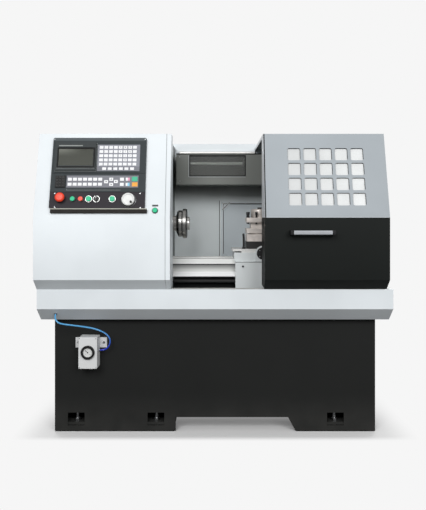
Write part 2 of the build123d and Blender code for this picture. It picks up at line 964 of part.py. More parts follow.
def make_chuck_collet():
    outline = [
        (nose_end, collet_bore), (nose_end, collet_body), (chuck_face + seat_gap, collet_body),
        (chuck_face + seat_gap, collet_radius), (collet_end - collet_edge, collet_radius),
        (collet_end, collet_radius - collet_edge), (collet_end, collet_bore),
    ]
    collet = turned(outline, spindle_y, spindle_z)
    slit = block(
        (chuck_face + collet_edge, collet_end + overlap), (-collet_slit / 2, collet_slit / 2),
        (collet_bore - overlap, collet_body - collet_slit_edge),
    )
    for turn in (0, 120, 240):
        collet -= Pos(0, spindle_y, spindle_z) * Rot(turn, 0, 0) * slit
    return collet


def make_headstock_cover():
    left = -length / 2
    cover = hood_skin(0, rail_back, pan_top, (left, cover_right))
    wall = hood_outline(0, rail_back, pan_top)
    cover += side_profile(wall, (left, left + sheet))
    cover -= along_x(bar_hole_radius, (left - overlap, left + sheet + overlap), spindle_y, spindle_z)
    inner_wall = side_profile(wall, (cover_right - sheet, cover_right))
    inner_wall -= block(
        (cover_right - 2 * sheet, cover_right + overlap),
        (apron_front - bed_gap, bed_back + bed_gap), (pan_top - overlap, bed_top + bed_gap),
    )
    hole = (cover_right - 2 * sheet, cover_right + overlap)
    inner_wall -= along_x(nose_radius + nose_gap, hole, spindle_y, spindle_z)
    cover += inner_wall
    flange_y = (pan_front + slide_gap, pan_front + pan_rim)
    cover += block((left, cover_right), flange_y, (pan_top, pan_top + sheet))
    bore = Cylinder(cover_button_hole, 6 * sheet)
    return cover - on_slope(cover_button_x, cover_button_up, 0, bore)


def return_wall(x):
    """A side wall of the outline's shape, as deep as the returns are."""
    floor = pan_top + foot_rail_height + hood_lift
    wall = side_profile(hood_outline(0, rail_back, floor), x)
    keep_y = (face_y - overlap, face_y + return_depth)
    return wall & block((x[0] - overlap, x[1] + overlap), keep_y, (0, hood_top + overlap))


def make_closing_post():
    left = cover_right + seam
    strip = hood_skin(0, rail_back, pan_top, (left, post_right))
    strip &= block((left, post_right), (face_y - overlap, face_y + return_depth), (0, hood_top + overlap))
    wall = side_profile(hood_outline(0, rail_back, pan_top), (post_right - sheet, post_right))
    wall &= block(
        (post_right - sheet, post_right), (face_y - overlap, face_y + return_depth), (0, hood_top + overlap),
    )
    return strip + wall


def make_door_shell():
    floor = pan_top + hood_lift
    hood = hood_skin(0, hood_back, floor, (hood_left, hood_right))
    hood += return_wall((hood_left, hood_left + sheet))
    hood += block(
        (hood_left, hood_left + sheet), (face_y + return_depth - overlap, hood_back),
        (hood_top - roof_lip, hood_top),
    )
    lip_y = rail_back - rail_thick - roof_lip_gap
    hood += block((hood_left, hood_right), (lip_y - sheet, lip_y), (rail_low, hood_top))
    for x in (hood_left + shoe_inset, hood_right - shoe_inset - shoe_length):
        hood += block(
            (x, x + shoe_length), (lip_y - overlap, hood_back), (rail_top + shoe_gap, hood_top),
        )
    hole = extrude(RectangleRounded(window_size, window_size, window_corner), amount=2 * window_cut_depth)
    for column in range(window_columns):
        for row in range(window_rows):
            x = window_left + window_size / 2 + column * window_pitch_x
            up = window_low + window_size / 2 + row * window_pitch_up
            hood -= on_slope(x, up, -window_cut_depth, hole)
    return hood


def make_door_window():
    """A pane on a raised seal that runs round behind all the cut-outs."""
    right = window_left + (window_columns - 1) * window_pitch_x + window_size
    head = window_low + (window_rows - 1) * window_pitch_up + window_size
    pane = window_plate(
        window_margin, (window_left, right), (window_low, head),
        (-sheet - window_seal - window_pane, -sheet),
    )
    return pane - window_plate(
        window_margin - window_seal_width, (window_left, right), (window_low, head),
        (-sheet - window_seal, -sheet + overlap),
    )


def window_plate(margin, x, up, out):
    return slope_plate((x[0] - margin, x[1] + margin), (up[0] - margin, up[1] + margin), out, window_corner)


def make_door_handle():
    bar_y = (face_y - handle_reach, face_y - handle_reach + handle_thick)
    low = handle_z - handle_height / 2
    bar = block((handle_left, handle_left + handle_length), bar_y, (low, low + handle_height))
    bar = fillet(bar.edges().filter_by(Axis.X), handle_edge)
    post_z = (low + handle_post_step, low + handle_height - handle_post_step)
    ends = (handle_left + handle_post_inset, handle_left + handle_length - handle_post_inset - handle_post)
    for x in ends:
        bar += block((x, x + handle_post), (bar_y[1] - handle_edge, face_y), post_z)
    return bar


def make_door_rails():
    closed_left = hood_left - hood_travel
    top = block((closed_left, end_right), (rail_back - rail_thick, rail_back), (rail_low, rail_top))
    top = chamfer(top.edges().filter_by(Axis.X).group_by(Axis.Y)[0], rail_edge)
    foot = block(
        (closed_left, end_right), (pan_front + foot_rail_inset, pan_front + foot_rail_inset + foot_rail_width),
        (pan_top, pan_top + foot_rail_height),
    )
    return Compound(children=[top, foot])


def make_right_end_housing():
    x = (end_left, end_right)
    housing = hood_skin(end_inset, end_roof_back, pan_top, x)
    housing += block(
        x, (end_roof_back - sheet, end_roof_back), (panel_top, hood_top - end_inset),
    )
    outline = hood_outline(end_inset, panel_y - slide_gap, pan_top)
    wall = side_profile(outline, (end_right - sheet, end_right))
    housing += wall
    foot_y = pan_front + (end_inset + sheet) / cos(low_lean)
    return housing + block(x, (foot_y - 2 * sheet, foot_y + end_flange), (pan_top, pan_top + sheet))


def make_back_panel():
    x = (post_right - 2 * sheet, end_right)
    panel = block(x, (panel_y, panel_y + sheet), (panel_low, panel_top))
    panel += block(x, (panel_y, rail_back), (panel_top - sheet, panel_top))
    left = (cover_right, x[0] + overlap)
    return panel + block(left, (panel_y, panel_y + sheet), (pan_top, panel_top))


def make_access_panel():
    x = (access_left, access_right)
    z = (access_low, access_high)
    plate = block(x, (panel_y - access_thick, panel_y), z)
    inner = (x[0] + access_rim, x[1] - access_rim, z[0] + access_rim, z[1] - access_rim)
    outline = Polyline(
        (inner[0], inner[2] + access_gusset), (inner[0] + access_gusset, inner[2]),
        (inner[1] - access_gusset, inner[2]), (inner[1], inner[2] + access_gusset),
        (inner[1], inner[3] - access_gusset), (inner[1] - access_gusset, inner[3]),
        (inner[0] + access_gusset, inner[3]), (inner[0], inner[3] - access_gusset), close=True,
    )
    face = Plane.XZ.offset(access_thick - panel_y) * make_face(outline.edges())
    return plate - extrude(face, amount=access_recess, dir=(0, 1, 0))


def make_lamp_housing():
    x = (lamp_left, lamp_right)
    top = panel_top - sheet - lamp_gap
    housing = block(x, (lamp_front, panel_y), (lamp_low, top))
    housing -= block(
        (x[0] + sheet, x[1] - sheet), (lamp_front + sheet, panel_y - sheet),
        (lamp_low + sheet, top - sheet),
    )
    housing -= block(
        (lamp_window_left, lamp_window_right), (lamp_front - overlap, lamp_front + 2 * sheet),
        (lamp_window_low, lamp_window_high),
    )
    for start in (tube_left - socket_width, tube_right):
        socket_z = (tube_z - socket_drop, top - overlap)
        housing += block((start, start + socket_width), (-socket_half, socket_half), socket_z)
    return housing


def make_lamp_tube():
    return along_x(tube_radius, (tube_left, tube_right), 0, tube_z)


def make_lamp_window():
    lap = lamp_pane_lap
    return block(
        (lamp_window_left - lap, lamp_window_right + lap),
        (lamp_front + sheet, lamp_front + sheet + lamp_pane),
        (lamp_window_low - lap, lamp_window_high + lap / 2),
    )


def make_rear_cabinet():
    half = length / 2 - cabinet_inset
    shell = block((-half, half), (cabinet_front, cabinet_back), (pan_top, cabinet_top))
    shell -= block(
        (-half + cabinet_wall, half - cabinet_wall),
        (cabinet_front + cabinet_wall, cabinet_back - cabinet_wall),
        (pan_top + cabinet_wall, cabinet_top - cabinet_wall),
    )
    shell -= block(
        (hatch_left, hatch_right), (cabinet_back - 2 * cabinet_wall, cabinet_back + overlap),
        (hatch_low, hatch_high),
    )
    hinge_x, hinge_y = cabinet_hinge()
    for z in cabinet_hinge_zs:
        lower = (z - cabinet_hinge_length - seat_gap, z - seat_gap)
        shell += along_z(cabinet_hinge_radius, hinge_x, hinge_y, lower)
        shell += block(
            (hinge_x - cabinet_hinge_radius, hinge_x + cabinet_hinge_radius),
            (cabinet_back - overlap, hinge_y), lower,
        )
        shell += along_z(cabinet_hinge_pin, hinge_x, hinge_y, (z - overlap, z + cabinet_hinge_length))
    return shell


def cabinet_hinge():
    """Where the hinge line of the cabinet door stands, in X and Y."""
    x = hatch_left - cabinet_door_lap - cabinet_hinge_offset
    return x, cabinet_back + cabinet_hinge_offset


def make_cabinet_door():
    x = (hatch_left - cabinet_door_lap, hatch_right + cabinet_door_lap)
    z = (hatch_low - cabinet_door_lap, hatch_high + cabinet_door_lap)
    inner_y = cabinet_back + cabinet_door_gap
    outer_y = inner_y + cabinet_door_depth
    door = block(x, (inner_y, outer_y), z)
    door -= block(
        (x[0] + sheet, x[1] - sheet), (inner_y - overlap, outer_y - sheet), (z[0] + sheet, z[1] - sheet),
    )
    hinge_x, hinge_y = cabinet_hinge()
    for low in cabinet_hinge_zs:
        upper = (low, low + cabinet_hinge_length)
        door += along_z(cabinet_hinge_radius, hinge_x, hinge_y, upper)
        door += block((hinge_x, x[0] + overlap), (hinge_y, hinge_y + cabinet_hinge_radius), upper)
        bore = (low - overlap, low + cabinet_hinge_length + overlap)
        door -= along_z(cabinet_hinge_pin + shaft_gap, hinge_x, hinge_y, bore)
    latch_x, latch_z = latch_place()
    bore = (outer_y - 3 * sheet, outer_y + overlap)
    return door - along_y(latch_shaft + shaft_gap, latch_x, bore, latch_z)


def latch_place():
    return hatch_right - latch_inset, (hatch_low + hatch_high) / 2


def make_cabinet_latch():
    x, z = latch_place()
    outer_y = cabinet_back + cabinet_door_gap + cabinet_door_depth
    knob_y = (outer_y + seat_gap, outer_y + latch_knob + slide_gap)
    latch = along_y(latch_radius, x, knob_y, z)
    latch += along_y(latch_shaft, x, (outer_y - latch_tail, knob_y[1]), z)
    slot_z = (z - latch_radius - overlap, z + latch_radius + overlap)
    slot_y = (knob_y[1] - latch_slot, knob_y[1] + overlap)
    return latch - block((x - latch_slot, x + latch_slot), slot_y, slot_z)


def make_saddle():
    x = (saddle_left, saddle_right)
    saddle = block(x, (saddle_front, saddle_back), (bed_top + slide_gap, saddle_top))
    flank_front = (saddle_front, bed_front - slide_gap)
    flank_back = (bed_back + slide_gap, saddle_back)
    for flank in (flank_front, flank_back):
        saddle += block(x, flank, (saddle_low, saddle_top))
    corners = saddle.edges().filter_by(Axis.Y).group_by(Axis.Z)[0]
    saddle = fillet(corners, saddle_edge)
    channel = (cross_screw_x - saddle_channel / 2, cross_screw_x + saddle_channel / 2)
    channel_y = (saddle_front + channel_end, saddle_back - channel_end)
    saddle -= block(channel, channel_y, (channel_floor, saddle_top + overlap))
    bore = (saddle_front - overlap, saddle_back + overlap)
    return saddle - along_y(cross_screw_radius + shaft_gap, cross_screw_x, bore, cross_screw_z)


def make_apron():
    back = bed_front - apron_back_gap
    inner = apron_front + apron_plate
    outline = [
        (apron_front, apron_low), (inner, apron_low), (inner, apron_nut_low),
        (back, apron_nut_low), (back, apron_nut_high), (inner, apron_nut_high),
        (inner, apron_slot_top), (back, apron_slot_top), (back, saddle_low),
        (apron_front, saddle_low),
    ]
    apron = side_profile(outline, (apron_left, apron_right))
    apron = fillet(apron.edges().filter_by(Axis.Y).group_by(Axis.Z)[0], apron_edge)
    bore = (apron_left - overlap, apron_right + overlap)
    apron -= along_x(bed_screw_radius + shaft_gap, bore, bed_screw_y, bed_screw_z)
    return apron


def make_cross_end_housing():
    """The arch-topped bracket that holds the front bearing of the cross screw."""
    y = (apron_front + cross_cap_depth, saddle_front)
    arch = along_y(cross_arch_radius, cross_screw_x, y, cross_cap_z)
    arch += block(
        (cross_screw_x - cross_arch_radius, cross_screw_x + cross_arch_radius), y,
        (saddle_low + overlap, cross_cap_z),
    )
    bore = (y[0] - overlap, y[1] + overlap)
    return arch - along_y(cross_screw_radius + shaft_gap, cross_screw_x, bore, cross_screw_z)


def make_cross_end_cap():
    y = (apron_front, apron_front + cross_cap_depth)
    cap = along_y(cross_cap_radius, cross_screw_x, y, cross_cap_z)
    cap = fillet(cap.edges().group_by(Axis.Y)[0], cross_cap_edge)
    bore = (y[1] - cross_screw_seat - overlap, y[1] + overlap)
    return cap - along_y(cross_screw_radius + shaft_gap, cross_screw_x, bore, cross_screw_z)


def make_cross_motor():
    y = (saddle_back, saddle_back + cross_motor_length)
    x = (cross_screw_x - cross_motor_half, cross_screw_x + cross_motor_half)
    z = (cross_screw_z - cross_motor_half, cross_screw_z + cross_motor_half)
    motor = block(x, y, z)
    motor = fillet(motor.edges().filter_by(Axis.Y), cross_motor_edge)
    flange = block(
        (x[0] - cross_motor_lip, x[1] + cross_motor_lip), (y[0], y[0] + cross_motor_flange),
        (saddle_low + overlap, z[1] + cross_motor_lip),
    )
    motor += flange
    bore = (y[0] - overlap, y[0] + cross_motor_seat + cross_screw_seat)
    return motor - along_y(cross_screw_radius + shaft_gap, cross_screw_x, bore, cross_screw_z)


def make_cross_screw():
    y = (apron_front + cross_cap_depth - cross_screw_seat, saddle_back + cross_motor_seat)
    return along_y(cross_screw_radius, cross_screw_x, y, cross_screw_z)


def make_cross_slide():
    y = (cross_front, cross_front + cross_length)
    slide = block((cross_left, cross_right), y, (cross_plate_low, cross_plate_top))
    slide = fillet(slide.edges().filter_by(Axis.Z), cross_edge)
    slide += block(
        (cross_block_left, cross_block_right), y, (saddle_top + slide_gap, cross_plate_low + overlap),
    )
    nut_y = (cross_nut_front, cross_nut_front + cross_nut_length)
    nut_x = (cross_screw_x - cross_nut_width / 2, cross_screw_x + cross_nut_width / 2)
    slide += block(nut_x, nut_y, (channel_floor + cross_nut_gap, cross_plate_low))
    bore = (nut_y[0] - overlap, nut_y[1] + overlap)
    return slide - along_y(cross_screw_radius + shaft_gap, cross_screw_x, bore, cross_screw_z)


def make_turret_base():
    half = post_half
    x = (post_x - half, post_x + half)
    y = (post_y - half, post_y + half)
    base = block(x, y, (post_base_low, post_base_top))
    base = fillet(base.edges().filter_by(Axis.Z), post_edge)
    base = chamfer(base.edges().group_by(Axis.Z)[-1], post_chamfer)
    lower = block(
        (x[0] + post_step, x[1] - post_step), (y[0] + post_step, y[1] - post_step),
        (post_base_top - overlap, post_lower_top),
    )
    lower = fillet(lower.edges().filter_by(Axis.Z), post_edge)
    return base + lower


def make_turret_body():
    half = post_half
    x = (post_x - half, post_x + half)
    y = (post_y - half, post_y + half)
    floor = block(x, y, (post_head_low + post_neck_height, post_head_floor))
    floor = fillet(floor.edges().filter_by(Axis.Z), post_head_edge)
    neck = (post_head_low, post_head_low + post_neck_height + overlap)
    floor += along_z(post_neck_radius, post_x, post_y, neck)
    top = block(x, y, (post_slot_top, post_head_top))
    top = fillet(top.edges().filter_by(Axis.Z), post_head_edge)
    inset = post_slot_depth
    core = block(
        (x[0] + inset, x[1] - inset), (y[0] + inset, y[1] - inset),
        (post_head_floor - overlap, post_slot_top + overlap),
    )
    head = floor + top + core
    for dx in clamp_offsets:
        for dy in clamp_offsets:
            if on_edge(dx, dy):
                bore = (post_slot_top - overlap, post_head_top + overlap)
                head -= along_z(clamp_neck_radius + shaft_gap, post_x + dx, post_y + dy, bore)
    cap = along_z(post_cap_radius, post_x, post_y, (post_head_top - overlap, post_cap_top))
    cap = fillet(cap.edges().group_by(Axis.Z)[-1], post_cap_edge)
    return head + cap


def on_edge(dx, dy):
    """True for the twelve clamp screws, which stand round the four sides."""
    return max(abs(dx), abs(dy)) == clamp_offsets[-1]


def make_turret_screws():
    screws = []
    for dx in clamp_offsets:
        for dy in clamp_offsets:
            if on_edge(dx, dy):
                x = post_x + dx
                y = post_y + dy
                neck = along_z(clamp_neck_radius, x, y, (clamp_tip, clamp_neck_top + overlap))
                half = clamp_head / 2
                head = block((x - half, x + half), (y - half, y + half), (clamp_neck_top, clamp_top))
                screws.append(neck + head)
    return Compound(children=screws)


def make_coolant_pipe():
    foot = block(
        (coolant_x - coolant_foot, coolant_x + coolant_foot),
        (coolant_y - coolant_foot + overlap, coolant_y + coolant_foot - overlap),
        (cross_plate_top, cross_plate_top + coolant_foot_height),
    )
    start = (coolant_x, coolant_y, cross_plate_top + coolant_foot_height / 2)
    bend = (coolant_x, coolant_y, coolant_top - coolant_bend)
    end = (coolant_x, coolant_y + coolant_reach, coolant_top + coolant_rise)
    path = FilletPolyline(start, bend, end, radius=coolant_bend)
    section = Plane(origin=start) * Circle(coolant_radius)
    return foot + sweep(section, path=path)


def make_operator_panel():
    plate = slope_plate(
        (panel_left, panel_right), (panel_foot, panel_head), (0, panel_thick), panel_corner,
    )
    groove = slope_plate(
        (screen_left, machine_right), (divider_up - divider_half, divider_up + divider_half),
        (panel_thick - divider_depth, panel_thick + overlap), divider_half - slide_gap,
    )
    plate -= groove
    plate += slope_plate(
        (port_left, port_right), (port_foot, port_head),
        (panel_thick - overlap, panel_thick + port_thick), port_corner,
    )
    return plate


def make_screen_unit():
    front = panel_thick + screen_thick
    unit = slope_plate(
        (screen_left, screen_right), (screen_foot, screen_head), (panel_thick, front), screen_corner,
    )
    return unit - slope_plate(
        (glass_left, glass_right), (glass_foot, glass_head),
        (front - glass_seat, front + overlap), glass_corner,
    )


def make_screen_glass():
    low = panel_thick + screen_thick - glass_seat
    edge = seat_gap
    return slope_plate(
        (glass_left + edge, glass_right - edge), (glass_foot + edge, glass_head - edge),
        (low, low + glass_thick), glass_corner,
    )


def key(x, up, width, height):
    """One raised key on a membrane."""
    front = panel_thick + membrane_thick
    solid = Box(width, height, key_rise + key_root, align=(Align.CENTER, Align.CENTER, Align.MIN))
    return on_slope(x, up, front - key_root, solid)


def make_keypads():
    front = panel_thick + membrane_thick
    main = slope_plate(
        (keypad_left, keypad_right), (keypad_foot, keypad_head), (panel_thick, front), membrane_corner,
    )
    pitch_x = (keypad_right - keypad_left) / key_columns
    pitch_up = (keypad_head - keypad_foot) / key_rows
    for row in range(key_rows):
        for column in range(key_columns):
            if row > 0 or column < short_row_keys:
                x = keypad_left + (column + 0.5) * pitch_x
                up = keypad_foot + (row + 0.5) * pitch_up
                main += key(x, up, pitch_x * key_share[0], pitch_up * key_share[1])
    machine = slope_plate(
        (machine_left, machine_right), (machine_foot, machine_head), (panel_thick, front), membrane_corner,
    )
    for row_up in machine_rows:
        for column in range(machine_row_keys):
            machine += key(machine_left + machine_row_start + column * machine_pitch, row_up, *machine_key)
    for x, up in arrow_keys:
        machine += key(x, up, *arrow_key)
    for x in speed_keys_x:
        for up in speed_keys_up:
            machine += key(x, up, *speed_key)
    for up in cycle_keys_up:
        machine += key(cycle_key_x, up, *cycle_key)
    return Compound(children=[main, machine])


def collar(x, up, out, outer, inner):
    ring = Cylinder(outer, collar_height, align=(Align.CENTER, Align.CENTER, Align.MIN))
    ring = chamfer(ring.edges().group_by(Axis.Z)[-1], collar_edge)
    ring -= Cylinder(inner, 4 * collar_height)
    return on_slope(x, up, out, ring)


def make_button_collars():
    collars = [
        collar(emergency_x, emergency_up, panel_thick, plain_collar, plain_cap + seat_gap),
        collar(start_x, button_row_up, panel_thick, plain_collar, plain_cap + seat_gap),
        collar(stop_x, button_row_up, panel_thick, plain_collar, plain_cap + seat_gap),
        collar(cycle_x, button_row_up, panel_thick, ring_collar, ring_cap + seat_gap),
        collar(mode_x, button_row_up, panel_thick, ring_collar, ring_cap + seat_gap),
        collar(feed_x, button_row_up, panel_thick, ring_collar, ring_cap + seat_gap),
        collar(dial_x, dial_up, panel_thick, ring_collar, dial_hub + seat_gap),
        collar(cover_button_x, cover_button_up, 0, plain_collar, plain_cap + seat_gap),
    ]
    return Compound(children=collars)


def push_cap(x, up, out, radius):
    cap = Cylinder(radius, cap_height, align=(Align.CENTER, Align.CENTER, Align.MIN))
    cap = fillet(cap.edges().group_by(Axis.Z)[-1], cap_edge)
    return on_slope(x, up, out + button_travel + button_clearance, cap)


def make_emergency_stop():
    low = stop_travel + collar_height + emergency_gap
    outline = [
        (0, 0), (plain_cap, 0), (plain_cap, low), (emergency_radius - emergency_edge, low),
        (emergency_radius, low + emergency_edge),
        (emergency_radius - emergency_edge / 2, low + emergency_height - 2 * emergency_edge),
        (emergency_radius - emergency_dome, low + emergency_height - emergency_edge / 2),
        (0, low + emergency_height),
    ]
    face = Plane.XZ * make_face(Polyline(*outline, close=True).edges())
    mushroom = revolve(face, Axis.Z)
    return on_slope(emergency_x, emergency_up, panel_thick + stop_travel + seat_gap, mushroom)


def make_mode_selector():
    upright = (Align.CENTER, Align.CENTER, Align.MIN)
    knob = Cylinder(ring_cap, selector_height, align=upright)
    grip = Box(selector_grip, 2 * ring_cap - overlap, selector_grip_height, align=upright)
    knob += Pos(0, 0, selector_grip_low) * grip
    return on_slope(mode_x, button_row_up, panel_thick + seat_gap, knob)


def make_hand_dial():
    low = collar_height + overlap
    top = collar_height + dial_height
    outline = [
        (0, 0), (dial_hub, 0), (dial_hub, low), (dial_radius - dial_edge, low),
        (dial_radius, low + dial_edge), (dial_radius, top - dial_edge),
        (dial_radius - dial_edge, top), (dial_radius - dial_rim, top),
        (dial_radius - dial_rim - dial_edge, top - dial_dish), (0, top - dial_dish),
    ]
    face = Plane.XZ * make_face(Polyline(*outline, close=True).edges())
    dial = revolve(face, Axis.Z)
    knob = Cylinder(dial_knob, dial_knob_height, align=(Align.CENTER, Align.CENTER, Align.MIN))
    knob = fillet(knob.edges().group_by(Axis.Z)[-1], dial_edge)
    dial += Pos(dial_knob_place, -dial_knob_place, top - dial_dish - overlap) * knob
    return on_slope(dial_x, dial_up, panel_thick + seat_gap, dial)


def make_regulator_box():
    y = (base_front - ear_plate - regulator_depth, base_front - ear_plate)
    box = block((regulator_left, regulator_right), y, (regulator_low, regulator_high))
    box = fillet(box.edges().filter_by(Axis.Y), regulator_corner)
    box = fillet(box.edges().group_by(Axis.Y)[0], regulator_edge)
    ears = block((ear_left, ear_right), (y[1] - overlap, base_front), (ear_low, ear_high))
    for x in (ear_left + ear_hole_inset, ear_right - ear_hole_inset):
        ears -= along_y(ear_hole, x, (y[1] - 2 * overlap, base_front + overlap), (ear_low + ear_high) / 2)
    box += ears
    middle = (y[0] + y[1]) / 2
    return box + along_z(drain_radius, drain_x, middle, (regulator_low - drain_drop, regulator_low + overlap))


def gauge_face_y():
    return base_front - ear_plate - regulator_depth


def make_pressure_gauge():
    y = gauge_face_y()
    ring = along_y(gauge_radius, gauge_x, (y - gauge_depth, y), gauge_z)
    ring = chamfer(ring.edges().group_by(Axis.Y)[0], gauge_edge)
    return ring - along_y(gauge_dial, gauge_x, (y - gauge_depth - overlap, y - gauge_back), gauge_z)


def make_gauge_needle():
    low = gauge_face_y() - gauge_back - seat_gap
    hub = along_y(needle_hub, gauge_x, (low - needle_hub, low), gauge_z)
    pointer = Box(needle_width, needle_thick, needle_length, align=(Align.CENTER, Align.CENTER, Align.MIN))
    return hub + Pos(gauge_x, low - needle_thick, gauge_z) * Rot(0, needle_angle, 0) * pointer


def make_hose_fittings():
    gland = Cylinder(gland_radius, gland_length, align=(Align.CENTER, Align.CENTER, Align.MIN))
    gland = gland_place() * gland
    end = hose_route[-1]
    elbow = along_x(elbow_radius, (regulator_right, end[0]), end[1], end[2])
    return Compound(children=[gland, elbow])


def corner_radii(points):
    """The largest tangent arcs that the runs leave room for."""
    radii = []
    for before, here, after in zip(points, points[1:], points[2:]):
        run_in = Vector(*here) - Vector(*before)
        run_out = Vector(*after) - Vector(*here)
        half_turn = radians(run_in.get_angle(run_out)) / 2
        radii.append(hose_bend_share * min(run_in.length, run_out.length) / tan(half_turn))
    return radii


def make_air_hose():
    radii = corner_radii(hose_route)
    print("hose radii", [round(radius) for radius in radii])
    path = FilletPolyline(*hose_route, radius=radii)
    heading = Vector(*hose_route[1]) - Vector(*hose_route[0])
    section = Plane(origin=hose_route[0], z_dir=heading) * Circle(hose_radius)
    hose = sweep(section, path=path)
    expected = pi * hose_radius ** 2 * path.length
    print("hose length", round(path.length, 1), "volume share", round(hose.volume / expected, 4))
    return hose


pieces = {
    "base_cabinet": make_base_cabinet,
    "levelling_feet": make_levelling_feet,
    "chip_pan": make_chip_pan,
    "bed": make_bed,
    "bed_screw": make_bed_screw,
    "screw_guard": make_screw_guard,
    "bed_motor": make_bed_motor,
    "headstock_casting": make_headstock_casting,
    "spindle_bearings": make_spindle_bearings,
    "spindle": make_spindle,
    "spindle_pulley": make_spindle_pulley,
    "motor_pulley": make_motor_pulley,
    "drive_belt": make_drive_belt,
    "main_motor": make_main_motor,
    "chuck_body": make_chuck_body,
    "chuck_collet": make_chuck_collet,
    "headstock_cover": make_headstock_cover,
    "closing_post": make_closing_post,
    "door_shell": make_door_shell,
    "door_window": make_door_window,
    "door_handle": make_door_handle,
    "door_rails": make_door_rails,
    "right_end_housing": make_right_end_housing,
    "back_panel": make_back_panel,
    "access_panel": make_access_panel,
    "lamp_housing": make_lamp_housing,
    "lamp_tube": make_lamp_tube,
    "lamp_window": make_lamp_window,
    "rear_cabinet": make_rear_cabinet,
    "cabinet_door": make_cabinet_door,
    "cabinet_latch": make_cabinet_latch,
    "saddle": make_saddle,
    "apron": make_apron,
    "cross_end_housing": make_cross_end_housing,
    "cross_end_cap": make_cross_end_cap,
    "cross_motor": make_cross_motor,
    "cross_screw": make_cross_screw,
    "cross_slide": make_cross_slide,
    "turret_base": make_turret_base,
    "turret_body": make_turret_body,
    "turret_screws": make_turret_screws,
    "coolant_pipe": make_coolant_pipe,
    "operator_panel": make_operator_panel,
    "screen_unit": make_screen_unit,
    "screen_glass": make_screen_glass,
    "keypads": make_keypads,
    "button_collars": make_button_collars,
    "emergency_stop": make_emergency_stop,
    "mode_selector": make_mode_selector,
    "hand_dial": make_hand_dial,
    "regulator_box": make_regulator_box,
    "pressure_gauge": make_pressure_gauge,
    "gauge_needle": make_gauge_needle,
    "hose_fittings": make_hose_fittings,
    "air_hose": make_air_hose,
}
for name, make in pieces.items():
    keep(name, make())

push_buttons = {
    "start_button": (start_x, button_row_up, panel_thick, plain_cap),
    "stop_button": (stop_x, button_row_up, panel_thick, plain_cap),
    "cycle_button": (cycle_x, button_row_up, panel_thick, ring_cap),
    "feed_button": (feed_x, button_row_up, panel_thick, ring_cap),
    "cover_button": (cover_button_x, cover_button_up, 0, plain_cap),
}
for name, place in push_buttons.items():
    keep(name, push_cap(*place))
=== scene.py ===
from math import atan2, cos, pi, radians, sin, tau

import bmesh
import bpy
from mathutils import Matrix, Vector


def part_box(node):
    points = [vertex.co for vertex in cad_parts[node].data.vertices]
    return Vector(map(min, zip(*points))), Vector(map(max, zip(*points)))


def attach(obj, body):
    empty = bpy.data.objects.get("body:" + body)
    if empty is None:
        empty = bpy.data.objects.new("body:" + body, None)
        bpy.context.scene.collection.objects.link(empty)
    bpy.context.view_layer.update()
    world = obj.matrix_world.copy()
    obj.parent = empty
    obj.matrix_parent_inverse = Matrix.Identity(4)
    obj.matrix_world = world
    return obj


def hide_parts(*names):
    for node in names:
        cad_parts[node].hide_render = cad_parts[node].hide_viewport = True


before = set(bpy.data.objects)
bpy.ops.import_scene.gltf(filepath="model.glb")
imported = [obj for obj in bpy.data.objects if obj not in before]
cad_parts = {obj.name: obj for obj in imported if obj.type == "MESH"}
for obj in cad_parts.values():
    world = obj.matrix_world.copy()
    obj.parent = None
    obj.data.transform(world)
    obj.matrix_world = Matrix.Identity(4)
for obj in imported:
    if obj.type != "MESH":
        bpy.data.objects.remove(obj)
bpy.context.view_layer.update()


# Base cabinet
# Folded and welded steel sheet on six levelling feet. It is sprayed with a charcoal powder coat,
# which has a fine orange-peel skin and is a little dusty near the floor.
def new_material(name, colour, roughness, metallic=0.0, specular=0.5):
    """A node material with its plain values set on the shader, and its node tree."""
    material = bpy.data.materials.new(name)
    material.use_nodes = True
    material.diffuse_color = (*colour, 1)
    shader = material.node_tree.nodes["Principled BSDF"]
    shader.inputs["Base Color"].default_value = (*colour, 1)
    shader.inputs["Roughness"].default_value = roughness
    shader.inputs["Metallic"].default_value = metallic
    shader.inputs["Specular IOR Level"].default_value = specular
    return material, material.node_tree, shader


def node(tree, kind, inputs=None, **settings):
    """A shader node with its settings made and its inputs linked or set."""
    made = tree.nodes.new("ShaderNode" + kind)
    for name, value in settings.items():
        setattr(made, name, value)
    for name, value in (inputs or {}).items():
        if isinstance(value, bpy.types.NodeSocket):
            tree.links.new(value, made.inputs[name])
        else:
            made.inputs[name].default_value = value
    return made


def sums(tree, operation, *values):
    """The result of one sum on numbers or sockets."""
    return node(tree, "Math", dict(enumerate(values)), operation=operation).outputs[0]


def times(tree, first, second):
    return sums(tree, "MULTIPLY", first, second)


def spot(tree, stretch=(1, 1, 1)):
    """Object coordinates in metres, stretched by the given factors."""
    where = node(tree, "TexCoord")
    return node(tree, "Mapping", {"Vector": where.outputs["Object"], "Scale": stretch}).outputs[0]


def axes(tree):
    """Object coordinates in metres, as outputs named X, Y and Z."""
    return node(tree, "SeparateXYZ", {"Vector": spot(tree)}).outputs


def height_of(tree):
    return axes(tree)["Z"]


def noise(tree, vector, scale, detail=2.0, rough=0.5):
    inputs = {"Vector": vector, "Scale": scale, "Detail": detail, "Roughness": rough}
    return node(tree, "TexNoise", inputs).outputs["Fac"]


def remap(tree, value, source, target):
    """The value's source range, stretched smoothly to the target range."""
    inputs = {"Value": value, "From Min": source[0], "From Max": source[1]}
    inputs.update({"To Min": target[0], "To Max": target[1]})
    return node(tree, "MapRange", inputs, interpolation_type="SMOOTHSTEP").outputs[0]


def blend(tree, share, first, second):
    """One colour where share is 0 and the other where it is 1."""
    mixer = node(tree, "Mix", data_type="RGBA")
    for socket, value in ((mixer.inputs[0], share), (mixer.inputs[6], first), (mixer.inputs[7], second)):
        if isinstance(value, bpy.types.NodeSocket):
            tree.links.new(value, socket)
        else:
            socket.default_value = value if isinstance(value, float) else (*value, 1)
    return mixer.outputs[2]


def shade(colour, factor):
    return tuple(min(1.0, part * factor) for part in colour)


